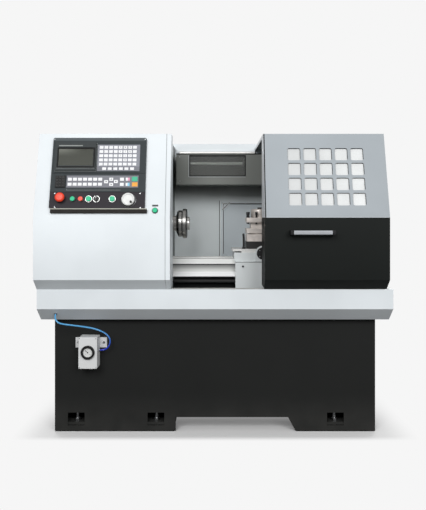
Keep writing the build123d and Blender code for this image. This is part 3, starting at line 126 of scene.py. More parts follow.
def tint(tree, shader, share, colour):
    """Blends a colour over the shader's own, by share."""
    socket = shader.inputs["Base Color"]
    under = socket.links[0].from_socket
    tree.links.new(blend(tree, share, under, colour), socket)


def raise_skin(tree, shader, height, depth):
    """Lifts the surface by height times depth, in metres, as a bump."""
    bump = node(tree, "Bump", {"Height": height, "Distance": depth, "Strength": 1.0})
    plug(shader, "Normal", bump.outputs[0])


def drifting(tree, colour, scale=2.4, low=0.955, high=1.03):
    """The colour with a slow, faint drift in its tone."""
    share = remap(tree, noise(tree, spot(tree), scale, 3.0), (0.3, 0.7), (0, 1))
    return blend(tree, share, shade(colour, low), shade(colour, high))


def plug(shader, name, value):
    """Links a value to one of the shader's inputs."""
    shader.id_data.links.new(value, shader.inputs[name])


def vary(tree, shader, pattern, colour, tones, roughness, glosses):
    """Varies the colour and the gloss with a pattern, by factors and by additions."""
    share = remap(tree, pattern, (0.3, 0.7), (0, 1))
    tone = blend(tree, share, shade(colour, tones[0]), shade(colour, tones[1]))
    plug(shader, "Base Color", tone)
    limits = (roughness + glosses[0], roughness + glosses[1])
    plug(shader, "Roughness", remap(tree, pattern, (0.3, 0.7), limits))


def powder_coat(name, colour, roughness, specular, dust=None):
    """Baked paint: orange peel, slow drift in tone, uneven gloss and dust below a height."""
    material, tree, shader = new_material(name, colour, roughness, specular=specular)
    tone = drifting(tree, colour)
    if dust is not None:
        height = height_of(tree)
        reach = remap(tree, height, dust, (0.10, 0))
        cover = times(tree, reach, noise(tree, spot(tree), 9, 4))
        tone = blend(tree, cover, tone, (0.28, 0.27, 0.25))
    plug(shader, "Base Color", tone)
    smear = noise(tree, spot(tree, (1, 1, 0.35)), 7.0, 4.0)
    gloss = remap(tree, smear, (0.3, 0.7), (roughness - 0.05, roughness + 0.07))
    plug(shader, "Roughness", gloss)
    raise_skin(tree, shader, noise(tree, spot(tree), 420, 2.0), 0.00012)
    return material


def round_edges(piece, edge):
    """Rounds the sharp edges by so many metres and keeps the flat faces flat."""
    rounding = piece.modifiers.new("rounding", "BEVEL")
    rounding.width = edge
    rounding.segments = 2
    rounding.limit_method = "ANGLE"
    rounding.angle_limit = radians(32)
    rounding.use_clamp_overlap = True
    shading = piece.modifiers.new("shading", "WEIGHTED_NORMAL")
    shading.keep_sharp = False


def dress(name, material, edge):
    """Gives a CAD node its material, and rounds its edges by so many metres."""
    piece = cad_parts[name]
    piece.data.materials.clear()
    piece.data.materials.append(material)
    if edge:
        weld = piece.modifiers.new("weld", "WELD")
        weld.merge_threshold = 0.00001
        flatten = piece.modifiers.new("flatten", "DECIMATE")
        flatten.decimate_type = "DISSOLVE"
        flatten.angle_limit = radians(1)
        round_edges(piece, edge)
    return piece


charcoal = (0.0190, 0.0198, 0.0192)
charcoal_coat = powder_coat("charcoal_powder_coat", charcoal, 0.55, 0.10, (0.02, 0.22))
dress("base_cabinet", charcoal_coat, 0)


# Base plates and louvres
# Screwed service plates on the back, and rows of pressed louvres in both ends.
def add_block(form, x, y, z, place=Matrix()):
    """A box from three pairs of limits, carried by a placing matrix."""
    centre = Vector(((x[0] + x[1]) / 2, (y[0] + y[1]) / 2, (z[0] + z[1]) / 2))
    size = Matrix.Diagonal((x[1] - x[0], y[1] - y[0], z[1] - z[0], 1))
    made = bmesh.ops.create_cube(form, size=1, matrix=place @ Matrix.Translation(centre) @ size)
    return made["verts"]


def add_round(form, radius, low, high, place=Matrix(), tip=None, segments=32):
    """A turned length from low to high along the placing's Z, tapering to tip."""
    middle = Matrix.Translation((0, 0, (low + high) / 2))
    made = bmesh.ops.create_cone(
        form, cap_ends=True, segments=segments, radius1=radius,
        radius2=radius if tip is None else tip, depth=high - low, matrix=place @ middle,
    )
    return made["verts"]


def add_screw(form, place, radius):
    """A button-head screw with a round socket, seated on the placing's XY plane."""
    height = radius * 0.55
    verts = add_round(form, radius, 0, height, place, radius * 0.78, 20)
    outward = (place.to_3x3() @ Vector((0, 0, 1))).normalized()
    faces = {face for vert in verts for face in vert.link_faces}
    top = max(faces, key=lambda face: face.calc_center_median().dot(outward))
    bmesh.ops.inset_region(form, faces=[top], thickness=radius * 0.34)
    pit = bmesh.ops.extrude_face_region(form, geom=[top])
    bmesh.ops.delete(form, geom=[top], context="FACES_ONLY")
    moved = [item for item in pit["geom"] if isinstance(item, bmesh.types.BMVert)]
    bmesh.ops.translate(form, verts=moved, vec=-outward * height * 0.6)


def add_screws(form, across, y, heights, radius, turn=0):
    """Screws on an upright face, at each place across and each height."""
    for x in across:
        for z in heights:
            add_screw(form, at(x, y, z, turn), radius)


def new_piece(name, form, material, edge=0.0, body="machine"):
    """Turns a bmesh into a piece that rides on a body, with its edges rounded."""
    bmesh.ops.recalc_face_normals(form, faces=form.faces)
    mesh = bpy.data.meshes.new(name)
    form.to_mesh(mesh)
    form.free()
    mesh.shade_smooth()
    mesh.set_sharp_from_angle(angle=radians(32))
    piece = bpy.data.objects.new(name, mesh)
    bpy.context.scene.collection.objects.link(piece)
    piece.data.materials.append(material)
    if edge:
        round_edges(piece, edge)
    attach(piece, body)
    return piece


def at(x, y, z, turn=0):
    """A placing whose Z points at the operator, or turned round the machine by so many degrees."""
    facing = Matrix.Rotation(radians(turn), 4, "Z") @ Matrix.Rotation(pi / 2, 4, "X")
    return Matrix.Translation((x, y, z)) @ facing


def add_louvres(form, place, columns, rows, pitch, size):
    """Pressed louvres: a slope that rises to an open lower edge."""
    width, height, depth = size
    inward = place.to_3x3() @ Vector((0, 0, -1))
    for column in range(columns):
        for row in range(rows):
            x = (column - (columns - 1) / 2) * pitch[0]
            y = (row - (rows - 1) / 2) * pitch[1]
            across = (x - width / 2, x + width / 2)
            verts = add_block(form, across, (y, y + height), (-0.0005, depth), place)
            local = place.inverted()
            crest = [vert for vert in verts if (local @ vert.co).y > y + height / 2
                     and (local @ vert.co).z > depth / 2]
            bmesh.ops.translate(form, verts=crest, vec=inward * depth)


base_low, base_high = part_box("base_cabinet")
form = bmesh.new()
for x, turn in ((base_low.x, -90), (base_high.x, 90)):
    add_louvres(form, at(x, 0.08, 0.40, turn), 3, 6, (0.16, 0.032), (0.12, 0.012, 0.006))
new_piece("base_louvres", form, charcoal_coat, edge=0.0008)

form = bmesh.new()
for x in (-0.45, 0.45):
    plate = at(x, base_high.y, 0.33, 180)
    add_block(form, (-0.28, 0.28), (-0.15, 0.15), (0, 0.003), plate)
new_piece("base_back_plates", form, charcoal_coat, edge=0.0008)


# Levelling feet
# Turned pads on threaded studs, with hexagon lock nuts. They are zinc plated.
def zinc(name):
    """Bright zinc plate, faintly clouded."""
    colour = (0.42, 0.43, 0.44)
    material, tree, shader = new_material(name, colour, 0.32, 1.0)
    cloud = noise(tree, spot(tree), 60, 4.0)
    vary(tree, shader, cloud, colour, (0.85, 1.1), 0.32, (-0.08, 0.10))
    return material


zinc_plate = zinc("zinc_plate")
dress("levelling_feet", zinc_plate, 0.0008)

form = bmesh.new()
plate_across = (-0.715, -0.45, -0.185, 0.185, 0.45, 0.715)
add_screws(form, plate_across, base_high.y + 0.003, (0.195, 0.465), 0.006, 180)
new_piece("base_plate_screws", form, zinc_plate)

# Chip pan
# One wide tray of folded sheet, painted white like the covers that stand on its rim.
white = (0.835, 0.885, 0.915)
white_coat = powder_coat("white_powder_coat", white, 0.40, 0.30)
dress("chip_pan", white_coat, 0.0015)


# Bed and headstock
# Grey iron castings, rubbed down and painted, with two ways that are ground bright on top. The bed's paint
# carries painted shade under its front way.
def casting_paint(name, colour, ground, machined, shade_band):
    """Casting paint with a pebbly skin, ground above one height, with painted shade at another: a
    near-black line there and a painted shadow fading out below it.
    """
    material, tree, shader = new_material(name, colour, 0.42, specular=0.35)
    height = height_of(tree)
    bright = sums(tree, "GREATER_THAN", height, machined)
    lines = noise(tree, spot(tree, (6, 600, 600)), 1.0, 3.0, 0.6)
    metal = blend(tree, remap(tree, lines, (0.3, 0.7), (0, 1)), shade(ground, 0.9), ground)
    paint = drifting(tree, colour)
    # Painted shade: below the shade band the paint darkens as a painted shadow under the way, and a
    # near-black line at the band stands in for the shade in the way's undercut.
    shadow = remap(tree, height, (shade_band - 0.040, shade_band), (0.22, 0.85))
    shadow = times(tree, shadow, sums(tree, "LESS_THAN", height, shade_band))
    paint = blend(tree, shadow, paint, (0.07, 0.075, 0.075))
    paint = blend(tree, sums(tree, "COMPARE", height, shade_band, 0.0024), paint, (0.008, 0.008, 0.008))
    plug(shader, "Base Color", blend(tree, bright, paint, metal))
    plug(shader, "Roughness", remap(tree, bright, (0, 1), (0.42, 0.28)))
    pebbles = noise(tree, spot(tree), 160, 3.0)
    raise_skin(tree, shader, times(tree, pebbles, sums(tree, "SUBTRACT", 1.0, bright)), 0.0003)
    return material


bed_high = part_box("bed")[1]
bed_paint = (0.84, 0.85, 0.83)
bed_shade_band = 0.8722
dress("bed", casting_paint("bed_paint", bed_paint, (0.98, 0.97, 0.94), bed_high.z - 0.0012, bed_shade_band),
      0.0015)
dress("headstock_casting", powder_coat("headstock_paint", bed_paint, 0.45, 0.3), 0.002)


# Bright steel
# Rails, screws and shafts are ground or turned, and show the fine marks of the wheel or tool.
def ground_steel(name, colour, roughness, stretch, metallic=1.0):
    """Ground steel with fine lines; they run along the axis whose stretch is smallest."""
    material, tree, shader = new_material(name, colour, roughness, metallic)
    lines = noise(tree, spot(tree, stretch), 1.0, 3.0, 0.6)
    vary(tree, shader, lines, colour, (0.84, 1.1), roughness, (-0.07, 0.1))
    raise_skin(tree, shader, lines, 0.00003)
    return material


along_x_steel = ground_steel("ground_steel_x", (0.62, 0.62, 0.60), 0.34, (6, 700, 700))
along_y_steel = ground_steel("ground_steel_y", (0.66, 0.66, 0.65), 0.36, (700, 6, 700))
dress("door_rails", along_x_steel, 0.0008)
dress("cross_screw", along_y_steel, 0)
# Painted shade: the bed's screw is coloured near-black, as the shade under the screw guard.
dress("bed_screw", ground_steel("shaded_screw_steel", (0.010, 0.010, 0.010), 0.6, (900, 20, 20), 0.2), 0)

# Screw guard
# A folded strip of white sheet, which hangs along the front of the bed.
dress("screw_guard", powder_coat("guard_white", (0.97, 0.98, 0.98), 0.4, 0.3), 0.0006)


# Spindle, pulleys, chuck and collet
# All turned from steel, with the tool's rings still on their faces. The pulleys are left bright.
def turned_steel(name, colour, roughness, y, z, shade_bands=(), metallic=1.0):
    """Steel turned about an X axis at y and z, with rings of tool marks and near-black bands at given X
    ranges, painted as shade in the grooves.
    """
    material, tree, shader = new_material(name, colour, roughness, metallic)
    parts = axes(tree)
    across = node(tree, "CombineXYZ", {
        "Y": sums(tree, "SUBTRACT", parts["Y"], y),
        "Z": sums(tree, "SUBTRACT", parts["Z"], z),
    })
    radius = node(tree, "VectorMath", {0: across.outputs[0]}, operation="LENGTH").outputs["Value"]
    ring = node(tree, "CombineXYZ", {"X": parts["X"], "Y": radius}).outputs[0]
    lines = noise(tree, ring, 700, 2.0, 0.6)
    vary(tree, shader, lines, colour, (0.8, 1.12), roughness, (-0.08, 0.1))
    # Painted shade: near-black bands at given X ranges stand in for the shade in the chuck's grooves.
    for low, high in shade_bands:
        shade_band = sums(tree, "COMPARE", parts["X"], (low + high) / 2, (high - low) / 2)
        tint(tree, shader, shade_band, (0.010, 0.010, 0.010))
    raise_skin(tree, shader, lines, 0.00003)
    return material


spindle_low, spindle_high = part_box("spindle")
spindle_y = (spindle_low.y + spindle_high.y) / 2
spindle_z = (spindle_low.z + spindle_high.z) / 2
spindle_steel = turned_steel("turned_steel", (0.80, 0.79, 0.76), 0.26, spindle_y, spindle_z, metallic=0.7)
chuck_shade_bands = ((-0.2115, -0.1985), (-0.1825, -0.1780), (-0.1600, -0.1530))
dark_steel = turned_steel(
    "turned_dark_steel", (0.52, 0.51, 0.49), 0.24, spindle_y, spindle_z, chuck_shade_bands,
)
for name in ("spindle", "spindle_bearings", "spindle_pulley", "chuck_collet"):
    dress(name, spindle_steel, 0.0006)
dress("chuck_body", dark_steel, 0.001)
motor_low, motor_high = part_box("motor_pulley")
motor_y = (motor_low.y + motor_high.y) / 2
motor_z = (motor_low.z + motor_high.z) / 2
dress("motor_pulley", turned_steel("motor_pulley_steel", (0.5, 0.49, 0.48), 0.34, motor_y, motor_z), 0.0006)


# Motors, caps and belt
# Black painted motors, end cap and coolant pipe, and a ribbed rubber belt. A near-black sheet of the
# same rubber hangs behind the screw guard as painted shade under the bed.
def moulded(name, colour, roughness, specular=0.5, depth=0.00004):
    """Moulded plastic or rubber with a spark-eroded grain."""
    material, tree, shader = new_material(name, colour, roughness, specular=specular)
    cloud = noise(tree, spot(tree), 20, 3.0)
    vary(tree, shader, cloud, colour, (0.94, 1.05), roughness, (-0.04, 0.05))
    raise_skin(tree, shader, noise(tree, spot(tree), 900, 2.0), depth)
    return material


black_coat = powder_coat("black_paint", (0.022, 0.022, 0.023), 0.4, 0.25)
black_rubber = moulded("black_rubber", (0.008, 0.008, 0.008), 0.65, specular=0.10)
for name in ("bed_motor", "main_motor", "cross_motor", "cross_end_cap", "coolant_pipe"):
    dress(name, black_coat, 0.0008)
dress("drive_belt", black_rubber, 0.0005)

# Painted shade: a near-black rubber sheet behind the screw guard stands in for the shade under the bed.
guard_low, guard_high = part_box("screw_guard")
form = bmesh.new()
shade_sheet_y = guard_high.y + 0.002
add_block(form, (guard_low.x + 0.003, 0.478), (shade_sheet_y - 0.0015, shade_sheet_y), (0.665, guard_low.z + 0.02))
new_piece("bed_shade_sheet", form, black_rubber, edge=0.0004)

# Saddle and slides
# The apron and saddle are painted castings, and the cross slide is scraped and ground.
carriage_paint = powder_coat("carriage_paint", (0.70, 0.735, 0.74), 0.42, 0.35)
for name in ("saddle", "apron", "cross_end_housing"):
    dress(name, carriage_paint, 0.001)
slide_steel = ground_steel("slide_steel", (0.80, 0.80, 0.78), 0.38, (700, 6, 700), 0.35)
dress("cross_slide", slide_steel, 0.001)

# Carriage fittings
# A blackened grease nipple in the apron, a dark joint line across it, and four socket screws that
# hold the end cap.
blackened = ground_steel("blackened_steel", (0.05, 0.05, 0.05), 0.4, (300, 300, 300))
apron_low, apron_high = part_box("apron")
form = bmesh.new()
nipple = at(0.148, apron_low.y, 0.864)
add_round(form, 0.0055, 0, 0.003, nipple, segments=6)
add_round(form, 0.0032, 0.003, 0.008, nipple, 0.0026, 16)
add_round(form, 0.0040, 0.008, 0.011, nipple, 0.0016, 16)
new_piece("apron_nipple", form, blackened, body="carriage")
form = bmesh.new()
add_block(form, (apron_low.x, apron_high.x), (apron_low.y - 0.0003, apron_low.y + 0.001), (0.8850, 0.8875))
new_piece("apron_joint", form, black_rubber, body="carriage")

form = bmesh.new()
cap_low, cap_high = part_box("cross_end_cap")
cap_x = (cap_low.x + cap_high.x) / 2
cap_z = (cap_low.z + cap_high.z) / 2
diagonals = (45, 135, 225, 315)
for turn in diagonals:
    spread = Vector((cos(radians(turn)), 0, sin(radians(turn)))) * 0.023
    add_screw(form, at(cap_x + spread.x, cap_low.y, cap_z + spread.z), 0.0035)
new_piece("carriage_screws", form, zinc_plate, body="carriage")


# Tool post
# A hardened and ground four-way block on a steel riser and a black base, with square-head screws.
def two_by_height(name, split, lower, upper, rough, metallic):
    """Two finishes that meet at a height: each pair is (below, above)."""
    material, tree, shader = new_material(name, upper, rough[1])
    height = height_of(tree)
    above = sums(tree, "GREATER_THAN", height, split)
    tone = blend(tree, above, drifting(tree, lower), drifting(tree, upper, 30, 0.85, 1.1))
    plug(shader, "Base Color", tone)
    for label, pair in (("Roughness", rough), ("Metallic", metallic)):
        plug(shader, label, remap(tree, above, (0, 1), pair))
    raise_skin(tree, shader, noise(tree, spot(tree, (8, 8, 700)), 1.0, 3.0), 0.00003)
    return material


post_steel = ground_steel("tool_post_steel", (0.80, 0.74, 0.69), 0.34, (6, 6, 600), 0.5)
dress("turret_body", post_steel, 0.0008)
riser = two_by_height(
    "tool_post_base", 0.9945, (0.02, 0.02, 0.02), (0.86, 0.79, 0.74), (0.4, 0.36), (0.0, 0.35),
)
dress("turret_base", riser, 0.001)
black_oxide = moulded("black_oxide", (0.016, 0.016, 0.017), 0.38, specular=0.25)
dress("turret_screws", black_oxide, 0.0008)
turret_low, turret_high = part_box("turret_body")
form = bmesh.new()
hub_x, hub_y = (turret_low.x + turret_high.x) / 2, (turret_low.y + turret_high.y) / 2
hub = Matrix.Translation((hub_x, hub_y, turret_high.z - 0.0005))
add_round(form, 0.013, 0, 0.0085, hub, segments=6)
new_piece("turret_nut", form, black_oxide, edge=0.0008, body="turret")

# Work area
# The back wall and its cover are light grey sheet, and the wall is painted darker towards its top as
# shade under the lamp box; the lamp box and the inner housing are darker.
# A pale bead and a dark gasket run along the cover's left and top edges and across their corner.
wall_coat = powder_coat("wall_grey", (0.88, 0.94, 0.95), 0.44, 0.3)
wall_tree = wall_coat.node_tree
wall_shader = wall_tree.nodes["Principled BSDF"]
wall_height = height_of(wall_tree)
# Painted shade: the wall darkens, in uneven patches, towards its top under the lamp box.
shade_reach = remap(wall_tree, wall_height, (1.19, 1.31), (0, 0.9))
shade_patches = remap(wall_tree, noise(wall_tree, spot(wall_tree), 5, 3), (0.3, 0.7), (0.85, 1))
tint(wall_tree, wall_shader, times(wall_tree, shade_reach, shade_patches), (0.16, 0.165, 0.15))
dress("back_panel", wall_coat, 0.0012)
dress("access_panel", powder_coat("access_grey", (0.70, 0.765, 0.80), 0.42, 0.35), 0.0015)
lamp_coat = powder_coat("lamp_box_grey", (0.190, 0.200, 0.186), 0.45, 0.25)
dress("lamp_housing", lamp_coat, 0.0012)
dress("right_end_housing", charcoal_coat, 0.0012)

access_low, access_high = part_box("access_panel")
form = bmesh.new()
face_y = access_low.y
pale_strip = powder_coat("access_frame_white", (0.90, 0.92, 0.93), 0.4, 0.3)
dark_strip = moulded("access_gasket", (0.10, 0.11, 0.11), 0.6, specular=0.15)
dark_form = bmesh.new()
corner = 0.044
frame_right = access_high.x - 0.006
frame_top = access_high.z - 0.007
frame_left = access_low.x + 0.010
bead_y, gasket_y = (face_y - 0.003, face_y + 0.001), (face_y - 0.0012, face_y + 0.001)
add_block(form, (frame_left - 0.004, frame_left), bead_y, (0.90, frame_top))
add_block(form, (frame_left - 0.004, frame_right), bead_y, (frame_top, frame_top + 0.004))
add_block(dark_form, (frame_left, frame_left + 0.004), gasket_y, (0.90, frame_top))
add_block(dark_form, (frame_left, frame_right), gasket_y, (frame_top - 0.006, frame_top))
tilt = Matrix.Translation((frame_left, 0, frame_top - corner)) @ Matrix.Rotation(-pi / 4, 4, "Y")
run = corner * 2 ** 0.5
corner_y = (face_y - 0.0035, face_y + 0.001)
for low, high, target in ((0, 0.0035, form), (0.0035, 0.0075, dark_form), (0.0075, 0.0105, form)):
    add_block(target, (0, run), corner_y, (low, high), tilt)
for step in range(3):
    inset = 0.013 + step * 0.006
    add_block(form, (inset, run - inset), corner_y, (inset, inset + 0.002), tilt)
edge_rise = (0.86, 1.225)
add_block(dark_form, (access_low.x - 0.0135, access_low.x - 0.0095), (0.1985, 0.201), edge_rise)
add_block(form, (access_low.x - 0.0095, access_low.x - 0.0055), (0.1975, 0.201), edge_rise)
new_piece("access_frame", form, pale_strip, edge=0.0004)
new_piece("access_seal", dark_form, dark_strip, edge=0.0003)

form = bmesh.new()
access_across = (access_low.x + 0.007, (access_low.x + access_high.x) / 2, access_high.x - 0.007)
add_screws(form, access_across, face_y, (access_low.z + 0.007, access_high.z - 0.007), 0.0045)
lamp_low, lamp_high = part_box("lamp_housing")
lamp_across = (lamp_low.x + 0.02, lamp_high.x - 0.02)
add_screws(form, lamp_across, lamp_low.y, (lamp_low.z + 0.02, lamp_high.z - 0.02), 0.004)
new_piece("work_area_screws", form, zinc_plate)


# Work lamp
# A fluorescent tube on two sockets behind a clear pane, which sits in a black rubber seal.
def add_frame(form, x, y, z, width, place=Matrix()):
    """A flat rectangular ring, its outer limits given, of one width all round."""
    add_block(form, x, (y[0], y[0] + width), z, place)
    add_block(form, x, (y[1] - width, y[1]), z, place)
    add_block(form, (x[0], x[0] + width), (y[0] + width, y[1] - width), z, place)
    add_block(form, (x[1] - width, x[1]), (y[0] + width, y[1] - width), z, place)


tube_glass, tube_tree, tube_shader = new_material("lamp_tube_glass", (0.85, 0.87, 0.86), 0.2)
powder = noise(tube_tree, spot(tube_tree, (4, 40, 40)), 3.0, 2.0)
tube_tone = blend(tube_tree, powder, (0.74, 0.76, 0.75), (0.94, 0.96, 0.95))
plug(tube_shader, "Base Color", tube_tone)
dress("lamp_tube", tube_glass, 0)
pane, pane_tree, pane_shader = new_material("lamp_pane", (0.70, 0.72, 0.69), 0.08, specular=0.3)
pane_shader.inputs["Transmission Weight"].default_value = 0.92
smears = noise(pane_tree, spot(pane_tree, (3, 3, 9)), 3.0, 4.0)
plug(pane_shader, "Roughness", remap(pane_tree, smears, (0.4, 0.75), (0.02, 0.10)))
dress("lamp_window", pane, 0)
form = bmesh.new()
seal_across = (-0.1475, 0.1755)
add_frame(form, seal_across, (1.3565, 1.4775), (-0.002, 0.0015), 0.005, at(0, lamp_low.y, 0))
add_block(form, (lamp_low.x, 0.30), (lamp_low.y - 0.0006, lamp_low.y + 0.004),
          (lamp_high.z - 0.006, lamp_high.z + 0.0006))
new_piece("lamp_seal", form, black_rubber, edge=0.0006)
form = bmesh.new()
trim_y = (lamp_low.y - 0.0012, lamp_low.y + 0.001)
add_block(form, seal_across, trim_y, (1.3525, 1.3560))
add_block(form, (-0.1515, -0.1480), trim_y, (1.3525, 1.4775))
lamp_trim_grey = powder_coat("lamp_trim_grey", (0.45, 0.47, 0.47), 0.4, 0.3)
new_piece("lamp_trim", form, lamp_trim_grey, edge=0.0004)
form = bmesh.new()
for x in (-0.146, 0.158):
    bar = Matrix.Translation((x, 0, 1.434)) @ Matrix.Rotation(pi / 2, 4, "Y")
    add_round(form, 0.0097, 0, 0.006, bar)
new_piece("tube_caps", form, zinc_plate, edge=0.0005)

# Rear cabinet
# A welded box for the control gear. Its hinged door has rows of pressed louvres and a quarter-turn
# lock, and beside the door are a fan guard, an isolator switch and the cable glands.
dress("rear_cabinet", white_coat, 0.0015)
dress("cabinet_door", white_coat, 0.0015)
dress("cabinet_latch", zinc_plate, 0.0006)
rear_low, rear_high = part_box("rear_cabinet")
rear_face, hatch_face = 0.530, 0.5448
form = bmesh.new()
for z in (1.05, 1.33):
    add_louvres(form, at(-0.16, hatch_face, z, 180), 3, 6, (0.17, 0.026), (0.13, 0.011, 0.0045))
new_piece("hatch_louvres", form, white_coat, edge=0.0006, body="cabinet_hatch")


def add_ring(form, radius, wire, place):
    """A wire ring round the placing's Z."""
    start = place @ Matrix.Translation((radius, 0, 0)) @ Matrix.Rotation(pi / 2, 4, "X")
    made = bmesh.ops.create_circle(form, cap_ends=False, segments=8, radius=wire, matrix=start)
    edges = list({edge for vert in made["verts"] for edge in vert.link_edges})
    axis = place.to_3x3() @ Vector((0, 0, 1))
    bmesh.ops.spin(form, geom=edges + made["verts"], cent=place.translation, axis=axis, angle=tau,
                   steps=48, use_merge=True, use_duplicate=False)


fan = at(0.58, rear_face, 1.28, 180)
form = bmesh.new()
for radius in (0.016, 0.032, 0.048, 0.064, 0.080):
    add_ring(form, radius, 0.0014, fan @ Matrix.Translation((0, 0, 0.007)))
for turn in (45, 135):
    spoke = fan @ Matrix.Rotation(radians(turn), 4, "Z")
    add_block(form, (-0.084, 0.084), (-0.0015, 0.0015), (0.0035, 0.0062), spoke)
new_piece("fan_guard", form, zinc_plate)
form = bmesh.new()
add_round(form, 0.083, -0.0005, 0.002, fan, segments=64)
new_piece("fan_hole", form, black_rubber, edge=0.0005)
form = bmesh.new()
for turn in diagonals:
    spread = Vector((cos(radians(turn)), sin(radians(turn)), 0)) * 0.092
    add_screw(form, fan @ Matrix.Translation(spread), 0.005)
rear_heights = (rear_low.z + 0.03, (rear_low.z + rear_high.z) / 2, rear_high.z - 0.03)
add_screws(form, (rear_low.x + 0.03, rear_high.x - 0.03), rear_face, rear_heights, 0.006, 180)
new_piece("rear_screws", form, zinc_plate)
form = bmesh.new()
isolator = at(0.58, rear_face, 1.03, 180)
add_block(form, (-0.032, 0.032), (-0.032, 0.032), (0, 0.004), isolator)
add_round(form, 0.022, 0.004, 0.010, isolator, 0.020)
add_block(form, (-0.005, 0.005), (-0.019, 0.019), (0.010, 0.018), isolator)
for x in (0.42, 0.50, 0.58, 0.66, 0.74):
    gland = at(x, rear_face, 0.825, 180)
    add_round(form, 0.015, 0, 0.006, gland, segments=6)
    add_round(form, 0.011, 0.006, 0.016, gland, 0.009)
new_piece("isolator_and_glands", form, black_oxide, edge=0.0008)

# Covers on the pan
# The headstock cover and the post that the hood closes against are folded from white sheet, with a
# grey seam where they meet. The bar's hole in the left end has a rubber grommet.
cover_low, cover_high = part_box("headstock_cover")
cover_coat = powder_coat("cover_powder_coat", white, 0.40, 0.30)
cover_tree = cover_coat.node_tree
cover_shader = cover_tree.nodes["Principled BSDF"]
cover_place = axes(cover_tree)
# Painted shade: the cover's inner wall, facing the work area, is painted dark behind its front part, where
# it lies in shade.
on_wall = sums(cover_tree, "GREATER_THAN", cover_place["X"], cover_high.x - 0.0005)
behind_front = sums(cover_tree, "GREATER_THAN", cover_place["Y"], -0.40)
inner_wall_shade = times(cover_tree, on_wall, behind_front)
tint(cover_tree, cover_shader, inner_wall_shade, (0.07, 0.08, 0.08))
dress("headstock_cover", cover_coat, 0.0014)
dress("closing_post", white_coat, 0.0012)


def add_trim(form, x, thick, outline):
    """A strip of sheet that follows a folded outline of (y, z) corners, outside it."""
    for start, end in zip(outline, outline[1:]):
        along = Vector((0, end[0] - start[0], end[1] - start[1]))
        out = Vector((1, 0, 0)).cross(along).normalized()
        place = Matrix((
            (1, 0, out.x, 0), (0, along.y, out.y, start[0]), (0, along.z, out.z, start[1]), (0, 0, 0, 1),
        ))
        add_block(form, x, (0, 1), (0, thick), place)


folded_outline = ((-0.440, 0.762), (-0.500, 0.813), (-0.500, 1.123), (-0.387, 1.552))
form = bmesh.new()
add_trim(form, (-0.2482, -0.2456), 0.0004, folded_outline)
new_piece("post_seam", form, moulded("seam_grey", (0.36, 0.38, 0.39), 0.6, specular=0.2))
form = bmesh.new()
bar_hole_rim = 0.0305
add_ring(form, bar_hole_rim, 0.0022, at(cover_low.x + 0.0024, spindle_y, spindle_z, -90))
new_piece("bar_grommet", form, black_rubber)


# Sliding hood
# One folded sheet with a grey sprayed slope and roof above the bend, and a black front below it.
lean = atan2(0.113, 0.429)
slope_foot = (0, -0.5, 1.123)
slope_frame = Matrix.Translation(slope_foot) @ Matrix((
    (1, 0, 0, 0),
    (0, sin(lean), -cos(lean), 0),
    (0, cos(lean), sin(lean), 0),
    (0, 0, 0, 1),
))


def slope_place(tree):
    """A point's place across, up and out of the sloped face, in metres."""
    where = node(tree, "VectorMath", {0: spot(tree), 1: slope_foot}, operation="SUBTRACT").outputs[0]
    x = node(tree, "SeparateXYZ", {"Vector": where}).outputs["X"]
    up = node(tree, "VectorMath", {0: where, 1: (0, sin(lean), cos(lean))}, operation="DOT_PRODUCT")
    out = node(tree, "VectorMath", {0: where, 1: (0, -cos(lean), sin(lean))}, operation="DOT_PRODUCT")
    return x, up.outputs["Value"], out.outputs["Value"]


def inside(tree, place, limits):
    """1 where each of the values lies between its limits, else 0."""
    share = None
    for value, (low, high) in zip(place, limits):
        within = sums(tree, "COMPARE", value, (low + high) / 2, (high - low) / 2)
        share = within if share is None else times(tree, share, within)
    return share


def hood_paint(name, low_colour, high_colour, bend, edge_x):
    """The hood's two paints, with a painted highlight above the bend, a left return painted pale as lit
    with a painted shade line beside it, and near-black cut edges round the window that are partly painted
    shade.
    """
    material, tree, shader = new_material(name, low_colour, 0.5, specular=0.08)
    height = height_of(tree)
    above = sums(tree, "GREATER_THAN", height, bend)
    upper = drifting(tree, high_colour, 2.0)
    # Painted highlight: a pale band just above the bend.
    bend_highlight = remap(tree, height, (bend, bend + 0.006), (1, 0))
    upper = blend(tree, times(tree, bend_highlight, 0.35), upper, (0.75, 0.78, 0.80))
    x, up, out = slope_place(tree)
    # Painted light and shade: the left return is painted pale as a lit face, and a near-black line beside
    # it on the slope as shade.
    upper = blend(tree, sums(tree, "LESS_THAN", x, edge_x + 0.0068), upper, (0.012, 0.013, 0.014))
    upper = blend(tree, sums(tree, "LESS_THAN", x, edge_x + 0.0008), upper, (0.78, 0.81, 0.84))
    # The cut edges round the window are painted near-black, for the sheet's dark inner face and as painted
    # shade inside the cut-outs.
    within = inside(tree, (x, up), ((0.30, 0.80), (0.03, 0.38)))
    cut_edge = times(tree, within, sums(tree, "LESS_THAN", out, -0.0006))
    upper = blend(tree, cut_edge, upper, (0.006, 0.006, 0.006))
    tone = blend(tree, above, drifting(tree, low_colour, 2.0), upper)
    plug(shader, "Base Color", tone)
    plug(shader, "Roughness", remap(tree, above, (0, 1), (0.52, 0.40)))
    raise_skin(tree, shader, noise(tree, spot(tree), 420, 2.0), 0.0001)
    return material


hood_black = (0.0120, 0.0140, 0.0132)
hood_grey = (0.430, 0.470, 0.500)
hood_bend = 1.1222
hood_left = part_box("door_shell")[0].x
hood_coat = hood_paint("hood_paint", hood_black, hood_grey, hood_bend, hood_left)
dress("door_shell", hood_coat, 0.0012)


